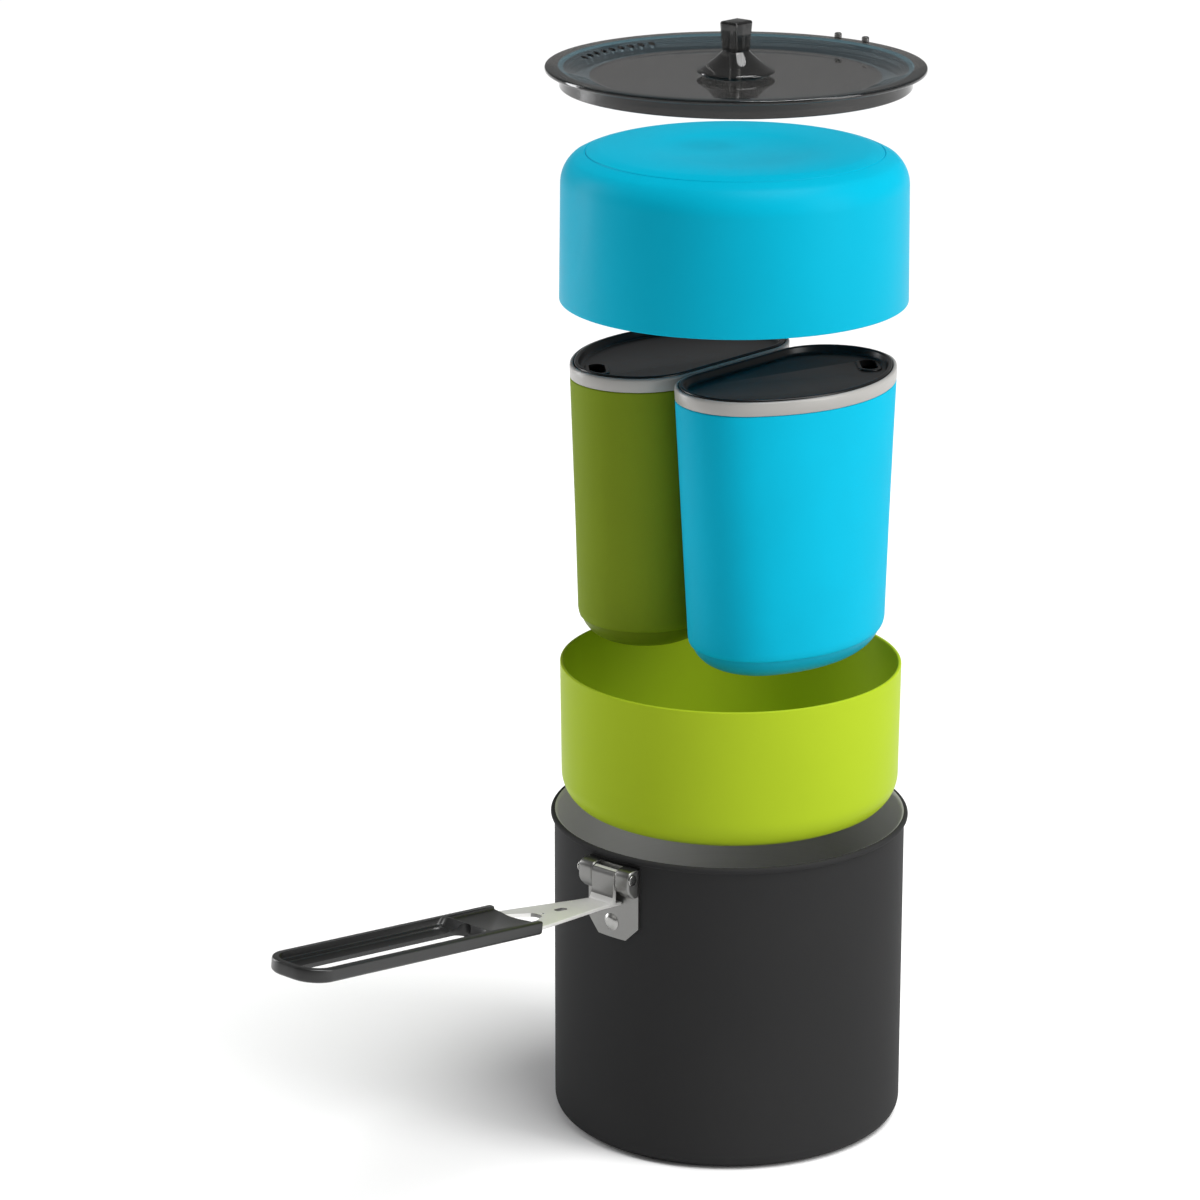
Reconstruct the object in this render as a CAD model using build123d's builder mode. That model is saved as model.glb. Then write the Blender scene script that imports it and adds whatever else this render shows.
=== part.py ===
from build123d import *

import os
from math import cos, radians, sin

# Nesting cook set for two: a pot with a fold-up handle, a strainer lid, two bowls and two
# D-shaped insulated mugs. Millimetres, +Z up. The origin is the middle of the pot's underside,
# the handle points along -X and the flat sides of the mugs face each other across Y = 0.
# The pieces are drawn lifted out of the pot one above the other, as they are when unpacked.

# Heights of the lifted pieces above the table
GREEN_BOWL_Z = 134.0  # underside of the upright bowl
MUGS_Z = 203.8  # underside of both mugs
BLUE_BOWL_Z = 345.7  # rim of the upturned bowl
LID_Z = 439.6  # top of the lid's flange

# Pot
POT_R = 72.0
POT_H = 130.8
POT_WALL = 1.2
POT_CORNER_R = 5.8
POT_BEAD_R = 1.2
POT_BEAD_AT_R = 72.3

# Bowls
BOWL_RIM_R = 69.6
BOWL_SIDE_R = 69.05
BOWL_H = 61.0
BOWL_WALL = 1.4
BOWL_SHOULDER_H = 14.0
BOWL_CREASE_R = 64.3
BOWL_CREASE_H = 3.8
BOWL_BASE_R = 53.0
BOWL_DISH_R = 30.0
BOWL_DISH_DEPTH = 0.3
BOWL_DISH_SLOPE = 1.0
BOWL_LIP_ROUND = 0.6
BOWL_BASE_MID = (59.2, 1.05)  # point on the arc from base to crease
BOWL_SHOULDER_MID = (67.9, 8.6)  # point on the arc from crease to side

# Lid
LID_R = 75.1
FLANGE_T = 1.8
FLANGE_IN_R = 68.3
FLANGE_IN_DROP = 0.7
FLANGE_BEVEL = 1.2
FLANGE_EDGE = 0.6
PANEL_R = 57.0
PANEL_DROP = 4.4
PANEL_T = 1.6
PANEL_LOW_OUT = 0.5  # how much wider the panel is on its underside
SKIRT_R = 69.4
SKIRT_IN_R = 67.6
SKIRT_DROP = 8.2
SKIRT_ROOT_T = 1.0
STRAINER_HOLE_R = 1.5
STRAINER_HOLES = 9
STRAINER_STEP = 4.6  # degrees between holes
STRAINER_AT_R = 64.6
NUB_R = 1.5
NUB_H = 2.2
NUB_AT_R = 73.2
NUB_ANGLE = 5.5
KNOB_BASE_R = 15.5
KNOB_FOOT_R = 12.5
KNOB_RIM = -2.6  # height of the widest ring
KNOB_RIM_EDGE = (0.4, 0.6)  # chamfer over the widest ring
KNOB_FLARE_MID = (9.6, 1.6)  # point on the arc from the widest ring to the neck
KNOB_NECK_R = 5.2
KNOB_NECK_Z = 5.6
KNOB_TOP_Z = 17.4
KNOB_TOP = (11.0, 8.6)
KNOB_LOW = (9.4, 7.4)
KNOB_ROUND = 1.0
KNOB_BLOCK_INTO_NECK = 0.4
SCREW_R = 2.0
SCREW_HEAD_R = 3.8
SCREW_HEAD_T = 0.6
SCREW_TIP_Z = 4.0
SCREW_TIP_GAP = 0.5

# Mugs
MUG_H = 116.5
MUG_R = 65.5
MUG_TAPER = 3.4  # how much smaller the round side is at the bottom
MUG_FLAT = 0.5  # gap from the middle plane to the flat side at the top
MUG_FLAT_TAPER = 2.0
MUG_CORNER_R = 27.0
MUG_BAND_H = 6.5
MUG_RIM_H = 115.9
MUG_FOOT_H = 8.8
MUG_FOOT_ROUND = 13.0
MUG_FOOT_INSET = 0.9
SLEEVE_T = 3.0
CUP_WALL = 1.8
CUP_BASE_Z = 2.5
CUP_LEDGE_Z = 110.9  # shelf inside the rim that carries the lid
CUP_RIM_T = 1.6
CUP_RIM_ROUND = 1.2
MUG_LID_GAP = 0.3
MUG_LID_LIP_T = 1.7
MUG_LID_PANEL_DROP = 3.2
MUG_LID_PLUG_H = 7.0
MUG_LID_PLUG_T = 1.5
SIP_AT = (38.5, -38.5)
SIP_ANGLE = 45.0
SIP_SLOT = (15.0, 6.6)
SIP_COLLAR = (19.0, 10.6)
SIP_COLLAR_H = 1.6

# Handle bracket, on the pot wall
BRACKET_HALF = 13.2
BRACKET_LOW_Z = 95.0
BRACKET_HIGH_Z = 126.6
BRACKET_T = 1.4
BRACKET_CHAMFER = 6.0
EAR_IN = 6.0
EAR_LOW_Z = 115.0
EAR_OUT = 6.6
EAR_ROOT = 4.0  # drawn into the wall, then trimmed
EAR_FOOT = (3.0, 3.4)  # how far the foot stands out, and how high its slope rises
EAR_CHAMFER = 2.4
EAR_ROUND = 1.2
RIVET_R = 2.0
RIVET_HEAD_R = 3.6
RIVET_HEAD_T = 0.9
RIVET_HEAD_TAPER = 35.0  # degrees
RIVET_HEIGHTS = (101.5, 116.5)

# Hinge
PIN_X = -76.3
PIN_Z = 123.2
PIN_R = 1.5
PIN_GAP = 0.05
PIN_HALF = 13.6
PIN_HEAD_R = 2.2
PIN_HEAD_T = 0.7
KNUCKLE_R = 2.5
KNUCKLE_HALF = 5.7

# Handle: its sheet and grip lie in a plane that rises outwards from the pot wall
HANDLE_AT = (-75.0, 109.1)
HANDLE_RISE = 7.4
SHEET_T = 1.5
SHEET_LIFT = 1.2
SHEET_IN = -0.9
SHEET_NARROW_HALF = 5.7
SHEET_WIDE_HALF = 12.6
SHEET_WIDE_AT = 54.5
SHEET_END_AT = 79.0
SHEET_SLOT_AT = 29.5
SHEET_SLOT = (6.5, 3.0)
SHEET_GAP_IN = 42.5
SHEET_GAP_OUT = 54.5
SHEET_GAP_HALF = 7.6
SHEET_GAP_TIP_HALF = 2.2
SHEET_STRAIGHT = 8.0  # before the sheet starts to widen
TAB_T = 1.5
TAB_HEEL = (2.6, 4.2)  # bend at the foot of the tab: outward and upward
TAB_HEEL_TOP = 1.3
TAB_FOOT = 0.5
GRIP_START = 55.5
GRIP_END = 183.0
GRIP_HALF = 14.35
GRIP_T = 5.4
GRIP_FLOOR_T = 1.7
GRIP_RAIL = 2.6
GRIP_TIP_R = 11.0
GRIP_PAD_END = 82.5
GRIP_PAD_DROP = 1.3
GRIP_LEDGE = 1.7
GRIP_LEDGE_H = 0.9
GRIP_SLOT_IN = 84.0
GRIP_SLOT_OUT = 176.0
GRIP_SLOT_W = 8.0
GRIP_MOUTH_R = 16.0
GRIP_MOUTH_DEPTH = 3.0
GRIP_MOUTH_ROUND = 1.5
GRIP_UNDER_ROUND = 1.3
GRIP_TOP_ROUND = 0.8
GRIP_POCKET_ROUND = 3.0
ARM_POCKET = 40.0  # long enough to open at the grip's mouth

PART_GAP = 0.05  # between two pieces fixed to each other
CUT_PAST = 1.0  # how far a cut runs past the face it opens
REACH = 10.0  # how far a sketch plane stands off the wall that it cuts or trims

HANDLE_PLANE = Plane(
    origin=(HANDLE_AT[0], 0, HANDLE_AT[1]),
    x_dir=(-cos(radians(HANDLE_RISE)), 0, sin(radians(HANDLE_RISE))),
    z_dir=(sin(radians(HANDLE_RISE)), 0, cos(radians(HANDLE_RISE))),
)
LID_PROFILE_PLANE = Plane(origin=(0, 0, LID_Z), x_dir=(1, 0, 0), z_dir=(0, -1, 0))


def save(piece, name):
    """Label a finished piece and write its STEP file."""
    piece.label = name
    export_step(piece, f"parts/{name}.step")


# ---------------------------------------------------------------- pot and bracket


def build_pot():
    """Drawn aluminium pot with a rolled rim and two rivet holes under it."""
    with BuildPart() as pot:
        Cylinder(POT_R, POT_H, align=(Align.CENTER, Align.CENTER, Align.MIN))
        fillet(pot.edges().group_by(Axis.Z)[0], POT_CORNER_R)
        offset(amount=-POT_WALL, openings=pot.faces().sort_by(Axis.Z)[-1])
        with BuildSketch(Plane.XZ):
            with Locations((POT_BEAD_AT_R, POT_H - POT_BEAD_R)):
                Circle(POT_BEAD_R)
        revolve(axis=Axis.Z)
        with BuildSketch(Plane.YZ.offset(-POT_R - REACH / 2)):
            with Locations(*[(0, height) for height in RIVET_HEIGHTS]):
                Circle(RIVET_R + PART_GAP)
        extrude(amount=REACH, mode=Mode.SUBTRACT)
    save(pot.part, "pot_shell")


def build_bracket():
    """Stamped steel bracket: a plate curved to the wall with two raised ears for the pin."""
    inner_r = POT_R + PART_GAP
    height = BRACKET_HIGH_Z - BRACKET_LOW_Z
    with BuildPart() as bracket:
        with BuildSketch(Plane.XY.offset(BRACKET_LOW_Z)):
            Circle(inner_r + BRACKET_T)
        extrude(amount=height)
        with BuildSketch(Plane.YZ.offset(-POT_R - REACH)) as front:
            with Locations((0, BRACKET_LOW_Z)):
                Rectangle(2 * BRACKET_HALF, height, align=(Align.CENTER, Align.MIN))
            chamfer(front.vertices().group_by(Axis.Y)[0], BRACKET_CHAMFER)
        extrude(amount=2 * REACH, mode=Mode.INTERSECT)
        for side in (-1, 1):
            with BuildSketch(Plane.XZ.offset(-side * EAR_IN)):
                with BuildLine():
                    Polyline(
                        (-POT_R + EAR_ROOT, EAR_LOW_Z),
                        (-POT_R - EAR_FOOT[0], EAR_LOW_Z),
                        (-POT_R - EAR_OUT, EAR_LOW_Z + EAR_FOOT[1]),
                        (-POT_R - EAR_OUT, BRACKET_HIGH_Z - EAR_CHAMFER),
                        (-POT_R - EAR_OUT + EAR_CHAMFER, BRACKET_HIGH_Z),
                        (-POT_R + EAR_ROOT, BRACKET_HIGH_Z),
                        close=True,
                    )
                make_face()
            extrude(amount=-side * (BRACKET_HALF - EAR_IN))
        fillet(bracket.edges().filter_by(Axis.Y).group_by(Axis.X)[0], EAR_ROUND)
        with BuildSketch(Plane.XY.offset(BRACKET_LOW_Z)):
            Circle(inner_r)
        extrude(amount=height, mode=Mode.SUBTRACT)
        with BuildSketch(Plane.XZ.offset(-BRACKET_HALF - CUT_PAST)):
            with Locations((PIN_X, PIN_Z)):
                Circle(PIN_R + PIN_GAP)
        extrude(amount=2 * (BRACKET_HALF + CUT_PAST), mode=Mode.SUBTRACT)
        with BuildSketch(Plane.YZ.offset(-POT_R - REACH)):
            with Locations(*[(0, z) for z in RIVET_HEIGHTS]):
                Circle(RIVET_R + PART_GAP)
        extrude(amount=2 * REACH, mode=Mode.SUBTRACT)
    save(bracket.part, "handle_bracket")


def build_rivets():
    """Two solid rivets through the bracket and the pot wall, domed outside, flat inside."""
    inside = -(POT_R - POT_WALL - 2 * PART_GAP)
    outside = -(POT_R + BRACKET_T + 2 * PART_GAP)
    with BuildPart() as rivets:
        for height in RIVET_HEIGHTS:
            with BuildSketch(Plane.YZ.offset(outside)):
                with Locations((0, height)):
                    Circle(RIVET_R)
            extrude(amount=inside - outside)
            with BuildSketch(Plane.YZ.offset(inside)):
                with Locations((0, height)):
                    Circle(RIVET_HEAD_R)
            extrude(amount=RIVET_HEAD_T)
            with BuildSketch(Plane.YZ.offset(outside)):
                with Locations((0, height)):
                    Circle(RIVET_HEAD_R)
            extrude(amount=-RIVET_HEAD_T, taper=RIVET_HEAD_TAPER)
    save(rivets.part, "bracket_rivets")


# ---------------------------------------------------------------- handle


def build_pin():
    """Hinge pin with a flattened head at each end."""
    with BuildPart() as pin:
        with BuildSketch(Plane.XZ.offset(-PIN_HALF)):
            with Locations((PIN_X, PIN_Z)):
                Circle(PIN_R)
        extrude(amount=2 * PIN_HALF)
        for side in (-1, 1):
            with BuildSketch(Plane.XZ.offset(-side * (BRACKET_HALF + PART_GAP))):
                with Locations((PIN_X, PIN_Z)):
                    Circle(PIN_HEAD_R)
            extrude(amount=-side * PIN_HEAD_T)
    save(pin.part, "hinge_pin")


def build_yoke():
    """Steel sheet yoke: knuckle on the pin, tab, neck and two arms that run into the grip."""
    heel_z = HANDLE_AT[1] + SHEET_LIFT
    outer_x = PIN_X - KNUCKLE_R
    with BuildPart() as yoke:
        with BuildSketch(HANDLE_PLANE.offset(SHEET_LIFT)):
            with BuildLine():
                Polyline(
                    (SHEET_IN, -SHEET_NARROW_HALF),
                    (SHEET_STRAIGHT, -SHEET_NARROW_HALF),
                    (SHEET_WIDE_AT, -SHEET_WIDE_HALF),
                    (SHEET_END_AT, -SHEET_WIDE_HALF),
                    (SHEET_END_AT, SHEET_WIDE_HALF),
                    (SHEET_WIDE_AT, SHEET_WIDE_HALF),
                    (SHEET_STRAIGHT, SHEET_NARROW_HALF),
                    (SHEET_IN, SHEET_NARROW_HALF),
                    close=True,
                )
            make_face()
            with BuildLine():
                Polyline(
                    (SHEET_GAP_IN, -SHEET_GAP_TIP_HALF),
                    (SHEET_GAP_OUT, -SHEET_GAP_HALF),
                    (SHEET_END_AT + CUT_PAST, -SHEET_GAP_HALF),
                    (SHEET_END_AT + CUT_PAST, SHEET_GAP_HALF),
                    (SHEET_GAP_OUT, SHEET_GAP_HALF),
                    (SHEET_GAP_IN, SHEET_GAP_TIP_HALF),
                    close=True,
                )
            make_face(mode=Mode.SUBTRACT)
            with Locations((SHEET_SLOT_AT, 0)):
                SlotOverall(*SHEET_SLOT, mode=Mode.SUBTRACT)
        extrude(amount=SHEET_T)
        with BuildSketch(Plane.XZ.offset(-KNUCKLE_HALF)):
            with BuildLine():
                Polyline(
                    (outer_x, PIN_Z),
                    (outer_x, heel_z + TAB_HEEL[1]),
                    (outer_x - TAB_HEEL[0], heel_z + TAB_HEEL_TOP),
                    (outer_x + TAB_T, heel_z + TAB_FOOT),
                    (outer_x + TAB_T, PIN_Z),
                    close=True,
                )
            make_face()
            with Locations((PIN_X, PIN_Z)):
                Circle(KNUCKLE_R)
        extrude(amount=2 * KNUCKLE_HALF)
        with BuildSketch(Plane.XZ.offset(-KNUCKLE_HALF - CUT_PAST)):
            with Locations((PIN_X, PIN_Z)):
                Circle(PIN_R + PIN_GAP)
        extrude(amount=2 * (KNUCKLE_HALF + CUT_PAST), mode=Mode.SUBTRACT)
    save(yoke.part, "handle_yoke")


def build_grip():
    """Moulded grip: a channel with side rails, a long slot and a filled pad over the arms."""
    length = GRIP_END - GRIP_START
    inner_half = GRIP_HALF - GRIP_RAIL
    channel = GRIP_END - GRIP_RAIL - GRIP_PAD_END
    normal = Axis((0, 0, 0), HANDLE_PLANE.z_dir)
    with BuildPart() as grip:
        with BuildSketch(HANDLE_PLANE) as plan:
            with Locations((GRIP_START + length / 2, 0)):
                Rectangle(length, 2 * GRIP_HALF)
            fillet(plan.vertices().group_by(Axis.X)[-1], GRIP_TIP_R)
            with Locations((GRIP_START + GRIP_MOUTH_DEPTH - GRIP_MOUTH_R, 0)):
                Circle(GRIP_MOUTH_R, mode=Mode.SUBTRACT)
            fillet(plan.vertices().group_by(Axis.X)[0], GRIP_MOUTH_ROUND)
        extrude(amount=GRIP_T)
        fillet(grip.edges().group_by(normal)[0], GRIP_UNDER_ROUND)
        fillet(grip.edges().group_by(normal)[-1], GRIP_TOP_ROUND)
        for drop, inset in ((GRIP_FLOOR_T + GRIP_LEDGE_H, 0), (GRIP_FLOOR_T, GRIP_LEDGE)):
            with BuildSketch(HANDLE_PLANE.offset(drop)) as pocket:
                with Locations((GRIP_PAD_END + channel / 2, 0)):
                    Rectangle(channel - 2 * inset, 2 * (inner_half - inset))
                fillet(pocket.vertices().group_by(Axis.X)[-1], GRIP_TIP_R - GRIP_RAIL - inset)
                fillet(pocket.vertices().group_by(Axis.X)[0], GRIP_POCKET_ROUND)
            extrude(amount=GRIP_T, mode=Mode.SUBTRACT)
        with BuildSketch(HANDLE_PLANE.offset(GRIP_T - GRIP_PAD_DROP)):
            with Locations(((GRIP_START + GRIP_PAD_END) / 2, 0)):
                Rectangle(GRIP_PAD_END - GRIP_START + 4 * CUT_PAST, 2 * inner_half)
        extrude(amount=GRIP_T, mode=Mode.SUBTRACT)
        with BuildSketch(HANDLE_PLANE.offset(-CUT_PAST)):
            with Locations(((GRIP_SLOT_IN + GRIP_SLOT_OUT) / 2, 0)):
                SlotOverall(GRIP_SLOT_OUT - GRIP_SLOT_IN, GRIP_SLOT_W)
        extrude(amount=GRIP_T, mode=Mode.SUBTRACT)
        arm_half = (SHEET_WIDE_HALF - SHEET_GAP_HALF) / 2
        arm_middle = SHEET_END_AT - ARM_POCKET / 2 + PART_GAP
        with BuildSketch(HANDLE_PLANE.offset(SHEET_LIFT - PART_GAP)):
            for side in (-1, 1):
                with Locations((arm_middle, side * (SHEET_GAP_HALF + arm_half))):
                    Rectangle(ARM_POCKET, 2 * (arm_half + PART_GAP))
        extrude(amount=SHEET_T + 2 * PART_GAP, mode=Mode.SUBTRACT)
    save(grip.part, "handle_grip")


# ---------------------------------------------------------------- lid


def build_lid():
    """Clear lid: flange, sloped side, flat panel, skirt, strainer holes and two rim nubs."""
    with BuildPart() as lid:
        with BuildSketch(LID_PROFILE_PLANE):
            with BuildLine():
                Polyline(
                    (0, -PANEL_DROP),
                    (PANEL_R, -PANEL_DROP),
                    (FLANGE_IN_R, -FLANGE_IN_DROP),
                    (FLANGE_IN_R + FLANGE_BEVEL, 0),
                    (LID_R - FLANGE_EDGE, 0),
                    (LID_R, -FLANGE_EDGE),
                    (LID_R, -FLANGE_T),
                    (SKIRT_R, -FLANGE_T),
                    (SKIRT_R, -SKIRT_DROP),
                    (SKIRT_IN_R, -SKIRT_DROP),
                    (SKIRT_IN_R, -FLANGE_T - SKIRT_ROOT_T),
                    (PANEL_R + PANEL_LOW_OUT, -PANEL_DROP - PANEL_T),
                    (0, -PANEL_DROP - PANEL_T),
                    close=True,
                )
            make_face()
        revolve(axis=Axis.Z)
        with BuildSketch(Plane.XY.offset(LID_Z - FLANGE_T / 2)):
            with PolarLocations(NUB_AT_R, 2, -NUB_ANGLE, 4 * NUB_ANGLE):
                Circle(NUB_R)
        extrude(amount=FLANGE_T / 2 + NUB_H)
        span = STRAINER_STEP * (STRAINER_HOLES - 1)
        with BuildSketch(Plane.XY.offset(LID_Z - SKIRT_DROP)):
            with PolarLocations(STRAINER_AT_R, STRAINER_HOLES, 90 - span / 2, span, endpoint=True):
                Circle(STRAINER_HOLE_R)
            Circle(SCREW_R + PART_GAP)
        extrude(amount=SKIRT_DROP + CUT_PAST, mode=Mode.SUBTRACT)
    save(lid.part, "pot_lid")


def build_knob():
    """Lid knob: flared cone foot, narrow neck and a block-shaped finger grip."""
    foot_z = LID_Z - PANEL_DROP + PART_GAP
    shoulder = (KNOB_BASE_R - KNOB_RIM_EDGE[0], KNOB_RIM + KNOB_RIM_EDGE[1])
    with BuildPart() as knob:
        with BuildSketch(LID_PROFILE_PLANE):
            with BuildLine():
                Polyline(
                    (KNOB_NECK_R, KNOB_NECK_Z),
                    (0, KNOB_NECK_Z),
                    (0, PART_GAP - PANEL_DROP),
                    (KNOB_FOOT_R, PART_GAP - PANEL_DROP),
                    (KNOB_BASE_R, KNOB_RIM),
                    shoulder,
                )
                ThreePointArc(shoulder, KNOB_FLARE_MID, (KNOB_NECK_R, KNOB_NECK_Z))
            make_face()
        revolve(axis=Axis.Z)
        with BuildSketch(Plane.XY.offset(LID_Z + KNOB_NECK_Z - KNOB_BLOCK_INTO_NECK)):
            Rectangle(*KNOB_LOW)
        with BuildSketch(Plane.XY.offset(LID_Z + KNOB_TOP_Z)):
            Rectangle(*KNOB_TOP)
        loft()
        fillet(knob.edges().group_by(Axis.Z)[-1], KNOB_ROUND)
        with BuildSketch(Plane.XY.offset(foot_z)):
            Circle(SCREW_R + PART_GAP)
        extrude(amount=LID_Z + SCREW_TIP_Z + SCREW_TIP_GAP - foot_z, mode=Mode.SUBTRACT)
    save(knob.part, "lid_knob")


def build_screw():
    """Pan-head screw that holds the knob from under the lid's panel."""
    head_z = LID_Z - PANEL_DROP - PANEL_T - PART_GAP
    with BuildPart() as screw:
        with BuildSketch(Plane.XY.offset(head_z)):
            Circle(SCREW_R)
        extrude(amount=LID_Z + SCREW_TIP_Z - head_z)
        with BuildSketch(Plane.XY.offset(head_z)):
            Circle(SCREW_HEAD_R)
        extrude(amount=-SCREW_HEAD_T)
    save(screw.part, "knob_screw")


# ---------------------------------------------------------------- bowls


def build_bowl(name, base_z, up):
    """Thin moulded bowl with a crowned base; up is +1 for mouth up and -1 for mouth down."""

    def at(radius, height):
        return (radius, base_z + up * height)

    with BuildPart() as bowl:
        with BuildSketch(Plane.XZ):
            with BuildLine():
                Polyline(
                    at(0, BOWL_DISH_DEPTH),
                    at(BOWL_DISH_R - BOWL_DISH_SLOPE, BOWL_DISH_DEPTH),
                    at(BOWL_DISH_R, 0),
                    at(BOWL_BASE_R, 0),
                )
                ThreePointArc(at(BOWL_BASE_R, 0), at(*BOWL_BASE_MID), at(BOWL_CREASE_R, BOWL_CREASE_H))
                ThreePointArc(
                    at(BOWL_CREASE_R, BOWL_CREASE_H),
                    at(*BOWL_SHOULDER_MID),
                    at(BOWL_SIDE_R, BOWL_SHOULDER_H),
                )
                Polyline(
                    at(BOWL_SIDE_R, BOWL_SHOULDER_H),
                    at(BOWL_RIM_R, BOWL_H),
                    at(0, BOWL_H),
                    at(0, BOWL_DISH_DEPTH),
                )
            make_face()
        revolve(axis=Axis.Z)
        mouth = bowl.faces().sort_by(Axis.Z)[-1 if up > 0 else 0]
        offset(amount=-BOWL_WALL, openings=mouth)
        rim = bowl.edges().group_by(Axis.Z)[-1 if up > 0 else 0]
        fillet(rim, BOWL_LIP_ROUND)
    save(bowl.part, name)


# ---------------------------------------------------------------- mugs


def mug_section(side, height, inset):
    """D-shaped section of a mug's skin, drawn inside it; side -1 turns the mug half round."""
    share = (MUG_H - height) / MUG_H
    radius = MUG_R - MUG_TAPER * share - inset
    flat = MUG_FLAT + MUG_FLAT_TAPER * share + inset
    with BuildSketch(Plane(origin=(0, 0, MUGS_Z + height), x_dir=(side, 0, 0))) as section:
        Circle(radius)
        with Locations((0, radius - flat)):
            Rectangle(2 * radius, 2 * radius, mode=Mode.SUBTRACT)
        fillet(section.vertices(), MUG_CORNER_R - inset)
    return section.sketch


def mug_body(side, low, inset, high=MUG_RIM_H):
    """Tapered D-shaped body with a rounded bottom edge."""
    with BuildPart() as body:
        loft([mug_section(side, low, inset), mug_section(side, high, inset)])
        fillet(body.edges().group_by(Axis.Z)[0], MUG_FOOT_ROUND - inset)
    return body.part


def mug_slice(side, low, high, inset, mode=Mode.ADD):
    """Straight-cut piece of the D-shaped body between two heights."""
    loft([mug_section(side, low, inset), mug_section(side, high, inset)], mode=mode)


def build_mug(colour, side):
    """One insulated mug: cup with its rim band, foam sleeve, foot and lid."""
    band_z = MUG_RIM_H - MUG_BAND_H
    cup_inset = SLEEVE_T + PART_GAP
    bore_inset = cup_inset + CUP_WALL
    with BuildPart() as cup:
        add(mug_body(side, CUP_BASE_Z, cup_inset))
        mug_slice(side, band_z, MUG_RIM_H, 0)
        add(mug_body(side, CUP_BASE_Z + CUP_WALL, bore_inset), mode=Mode.SUBTRACT)
        mug_slice(side, CUP_LEDGE_Z, MUG_RIM_H + CUT_PAST, CUP_RIM_T, mode=Mode.SUBTRACT)
        fillet(cup.faces().sort_by(Axis.Z)[-1].outer_wire().edges(), CUP_RIM_ROUND)
    save(cup.part, f"{colour}_mug_cup")

    with BuildPart() as sleeve:
        add(mug_body(side, 0, 0))
        add(mug_body(side, CUP_BASE_Z, SLEEVE_T), mode=Mode.SUBTRACT)
        split(bisect_by=Plane.XY.offset(MUGS_Z + MUG_FOOT_H), keep=Keep.TOP)
        split(bisect_by=Plane.XY.offset(MUGS_Z + band_z - PART_GAP), keep=Keep.BOTTOM)
    save(sleeve.part, f"{colour}_mug_sleeve")

    with BuildPart() as foot:
        add(mug_body(side, 0, MUG_FOOT_INSET))
        add(mug_body(side, CUP_BASE_Z - PART_GAP, SLEEVE_T), mode=Mode.SUBTRACT)
        split(bisect_by=Plane.XY.offset(MUGS_Z + MUG_FOOT_H - PART_GAP), keep=Keep.BOTTOM)
    save(foot.part, f"{colour}_mug_foot")

    edge_inset = CUP_RIM_T + MUG_LID_GAP
    plug_inset = bore_inset + MUG_LID_GAP
    panel_z = MUG_H - MUG_LID_PANEL_DROP
    seat_z = CUP_LEDGE_Z + MUG_LID_GAP
    with BuildPart() as lid:
        mug_slice(side, seat_z, MUG_H, edge_inset)
        mug_slice(side, panel_z, MUG_H + CUT_PAST, edge_inset + MUG_LID_LIP_T, mode=Mode.SUBTRACT)
        mug_slice(side, seat_z - MUG_LID_PLUG_H, seat_z, plug_inset)
        bore_low = seat_z - MUG_LID_PLUG_H - CUT_PAST
        mug_slice(side, bore_low, seat_z, plug_inset + MUG_LID_PLUG_T, mode=Mode.SUBTRACT)
        with BuildSketch(Plane(origin=(0, 0, MUGS_Z + panel_z), x_dir=(side, 0, 0))):
            with Locations(Location((*SIP_AT, 0), SIP_ANGLE)):
                SlotOverall(*SIP_COLLAR)
        extrude(amount=SIP_COLLAR_H)
        with BuildSketch(Plane(origin=(0, 0, MUGS_Z + seat_z - CUT_PAST), x_dir=(side, 0, 0))):
            with Locations(Location((*SIP_AT, 0), SIP_ANGLE)):
                SlotOverall(*SIP_SLOT)
        extrude(amount=MUG_H + SIP_COLLAR_H - seat_z + CUT_PAST, mode=Mode.SUBTRACT)
    save(lid.part, f"{colour}_mug_lid")


# ---------------------------------------------------------------- build everything

os.makedirs("parts", exist_ok=True)
build_pot()
build_bracket()
build_rivets()
build_pin()
build_yoke()
build_grip()
build_lid()
build_knob()
build_screw()
build_bowl("green_bowl", GREEN_BOWL_Z, 1)
build_bowl("blue_bowl", BLUE_BOWL_Z + BOWL_H, -1)
build_mug("blue", 1)
build_mug("green", -1)
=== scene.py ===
from math import acos, atan2, cos, pi, radians, sin, sqrt

import bmesh
import bpy
from bpy.props import FloatProperty, FloatVectorProperty, IntProperty, PointerProperty
from mathutils import Matrix, Vector


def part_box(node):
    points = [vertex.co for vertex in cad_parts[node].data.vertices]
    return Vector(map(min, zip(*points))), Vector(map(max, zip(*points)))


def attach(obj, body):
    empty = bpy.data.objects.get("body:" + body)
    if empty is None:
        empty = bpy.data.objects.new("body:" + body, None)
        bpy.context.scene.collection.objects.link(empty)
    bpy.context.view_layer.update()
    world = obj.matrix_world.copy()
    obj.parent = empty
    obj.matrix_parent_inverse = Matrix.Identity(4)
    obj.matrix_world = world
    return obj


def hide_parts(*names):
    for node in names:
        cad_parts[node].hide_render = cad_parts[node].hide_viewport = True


bl_info = {
    "name": "Nesting Cook Set",
    "version": (1, 0, 0),
    "blender": (4, 5, 0),
    "location": "View3D > Sidebar > Cook Set",
    "description": "Pot, strainer lid, bowls and insulated mugs of a nesting camp cook set",
    "category": "Add Mesh",
}

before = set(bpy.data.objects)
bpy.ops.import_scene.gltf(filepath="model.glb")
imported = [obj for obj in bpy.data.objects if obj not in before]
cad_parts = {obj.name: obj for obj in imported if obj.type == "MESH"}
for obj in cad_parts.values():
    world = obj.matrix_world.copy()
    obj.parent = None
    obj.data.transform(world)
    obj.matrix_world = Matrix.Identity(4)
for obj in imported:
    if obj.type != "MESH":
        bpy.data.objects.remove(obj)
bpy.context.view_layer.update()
MM = 0.001


def corners(node):
    """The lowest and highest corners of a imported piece, in metres."""
    return tuple(Vector(corner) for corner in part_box(node))


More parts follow.
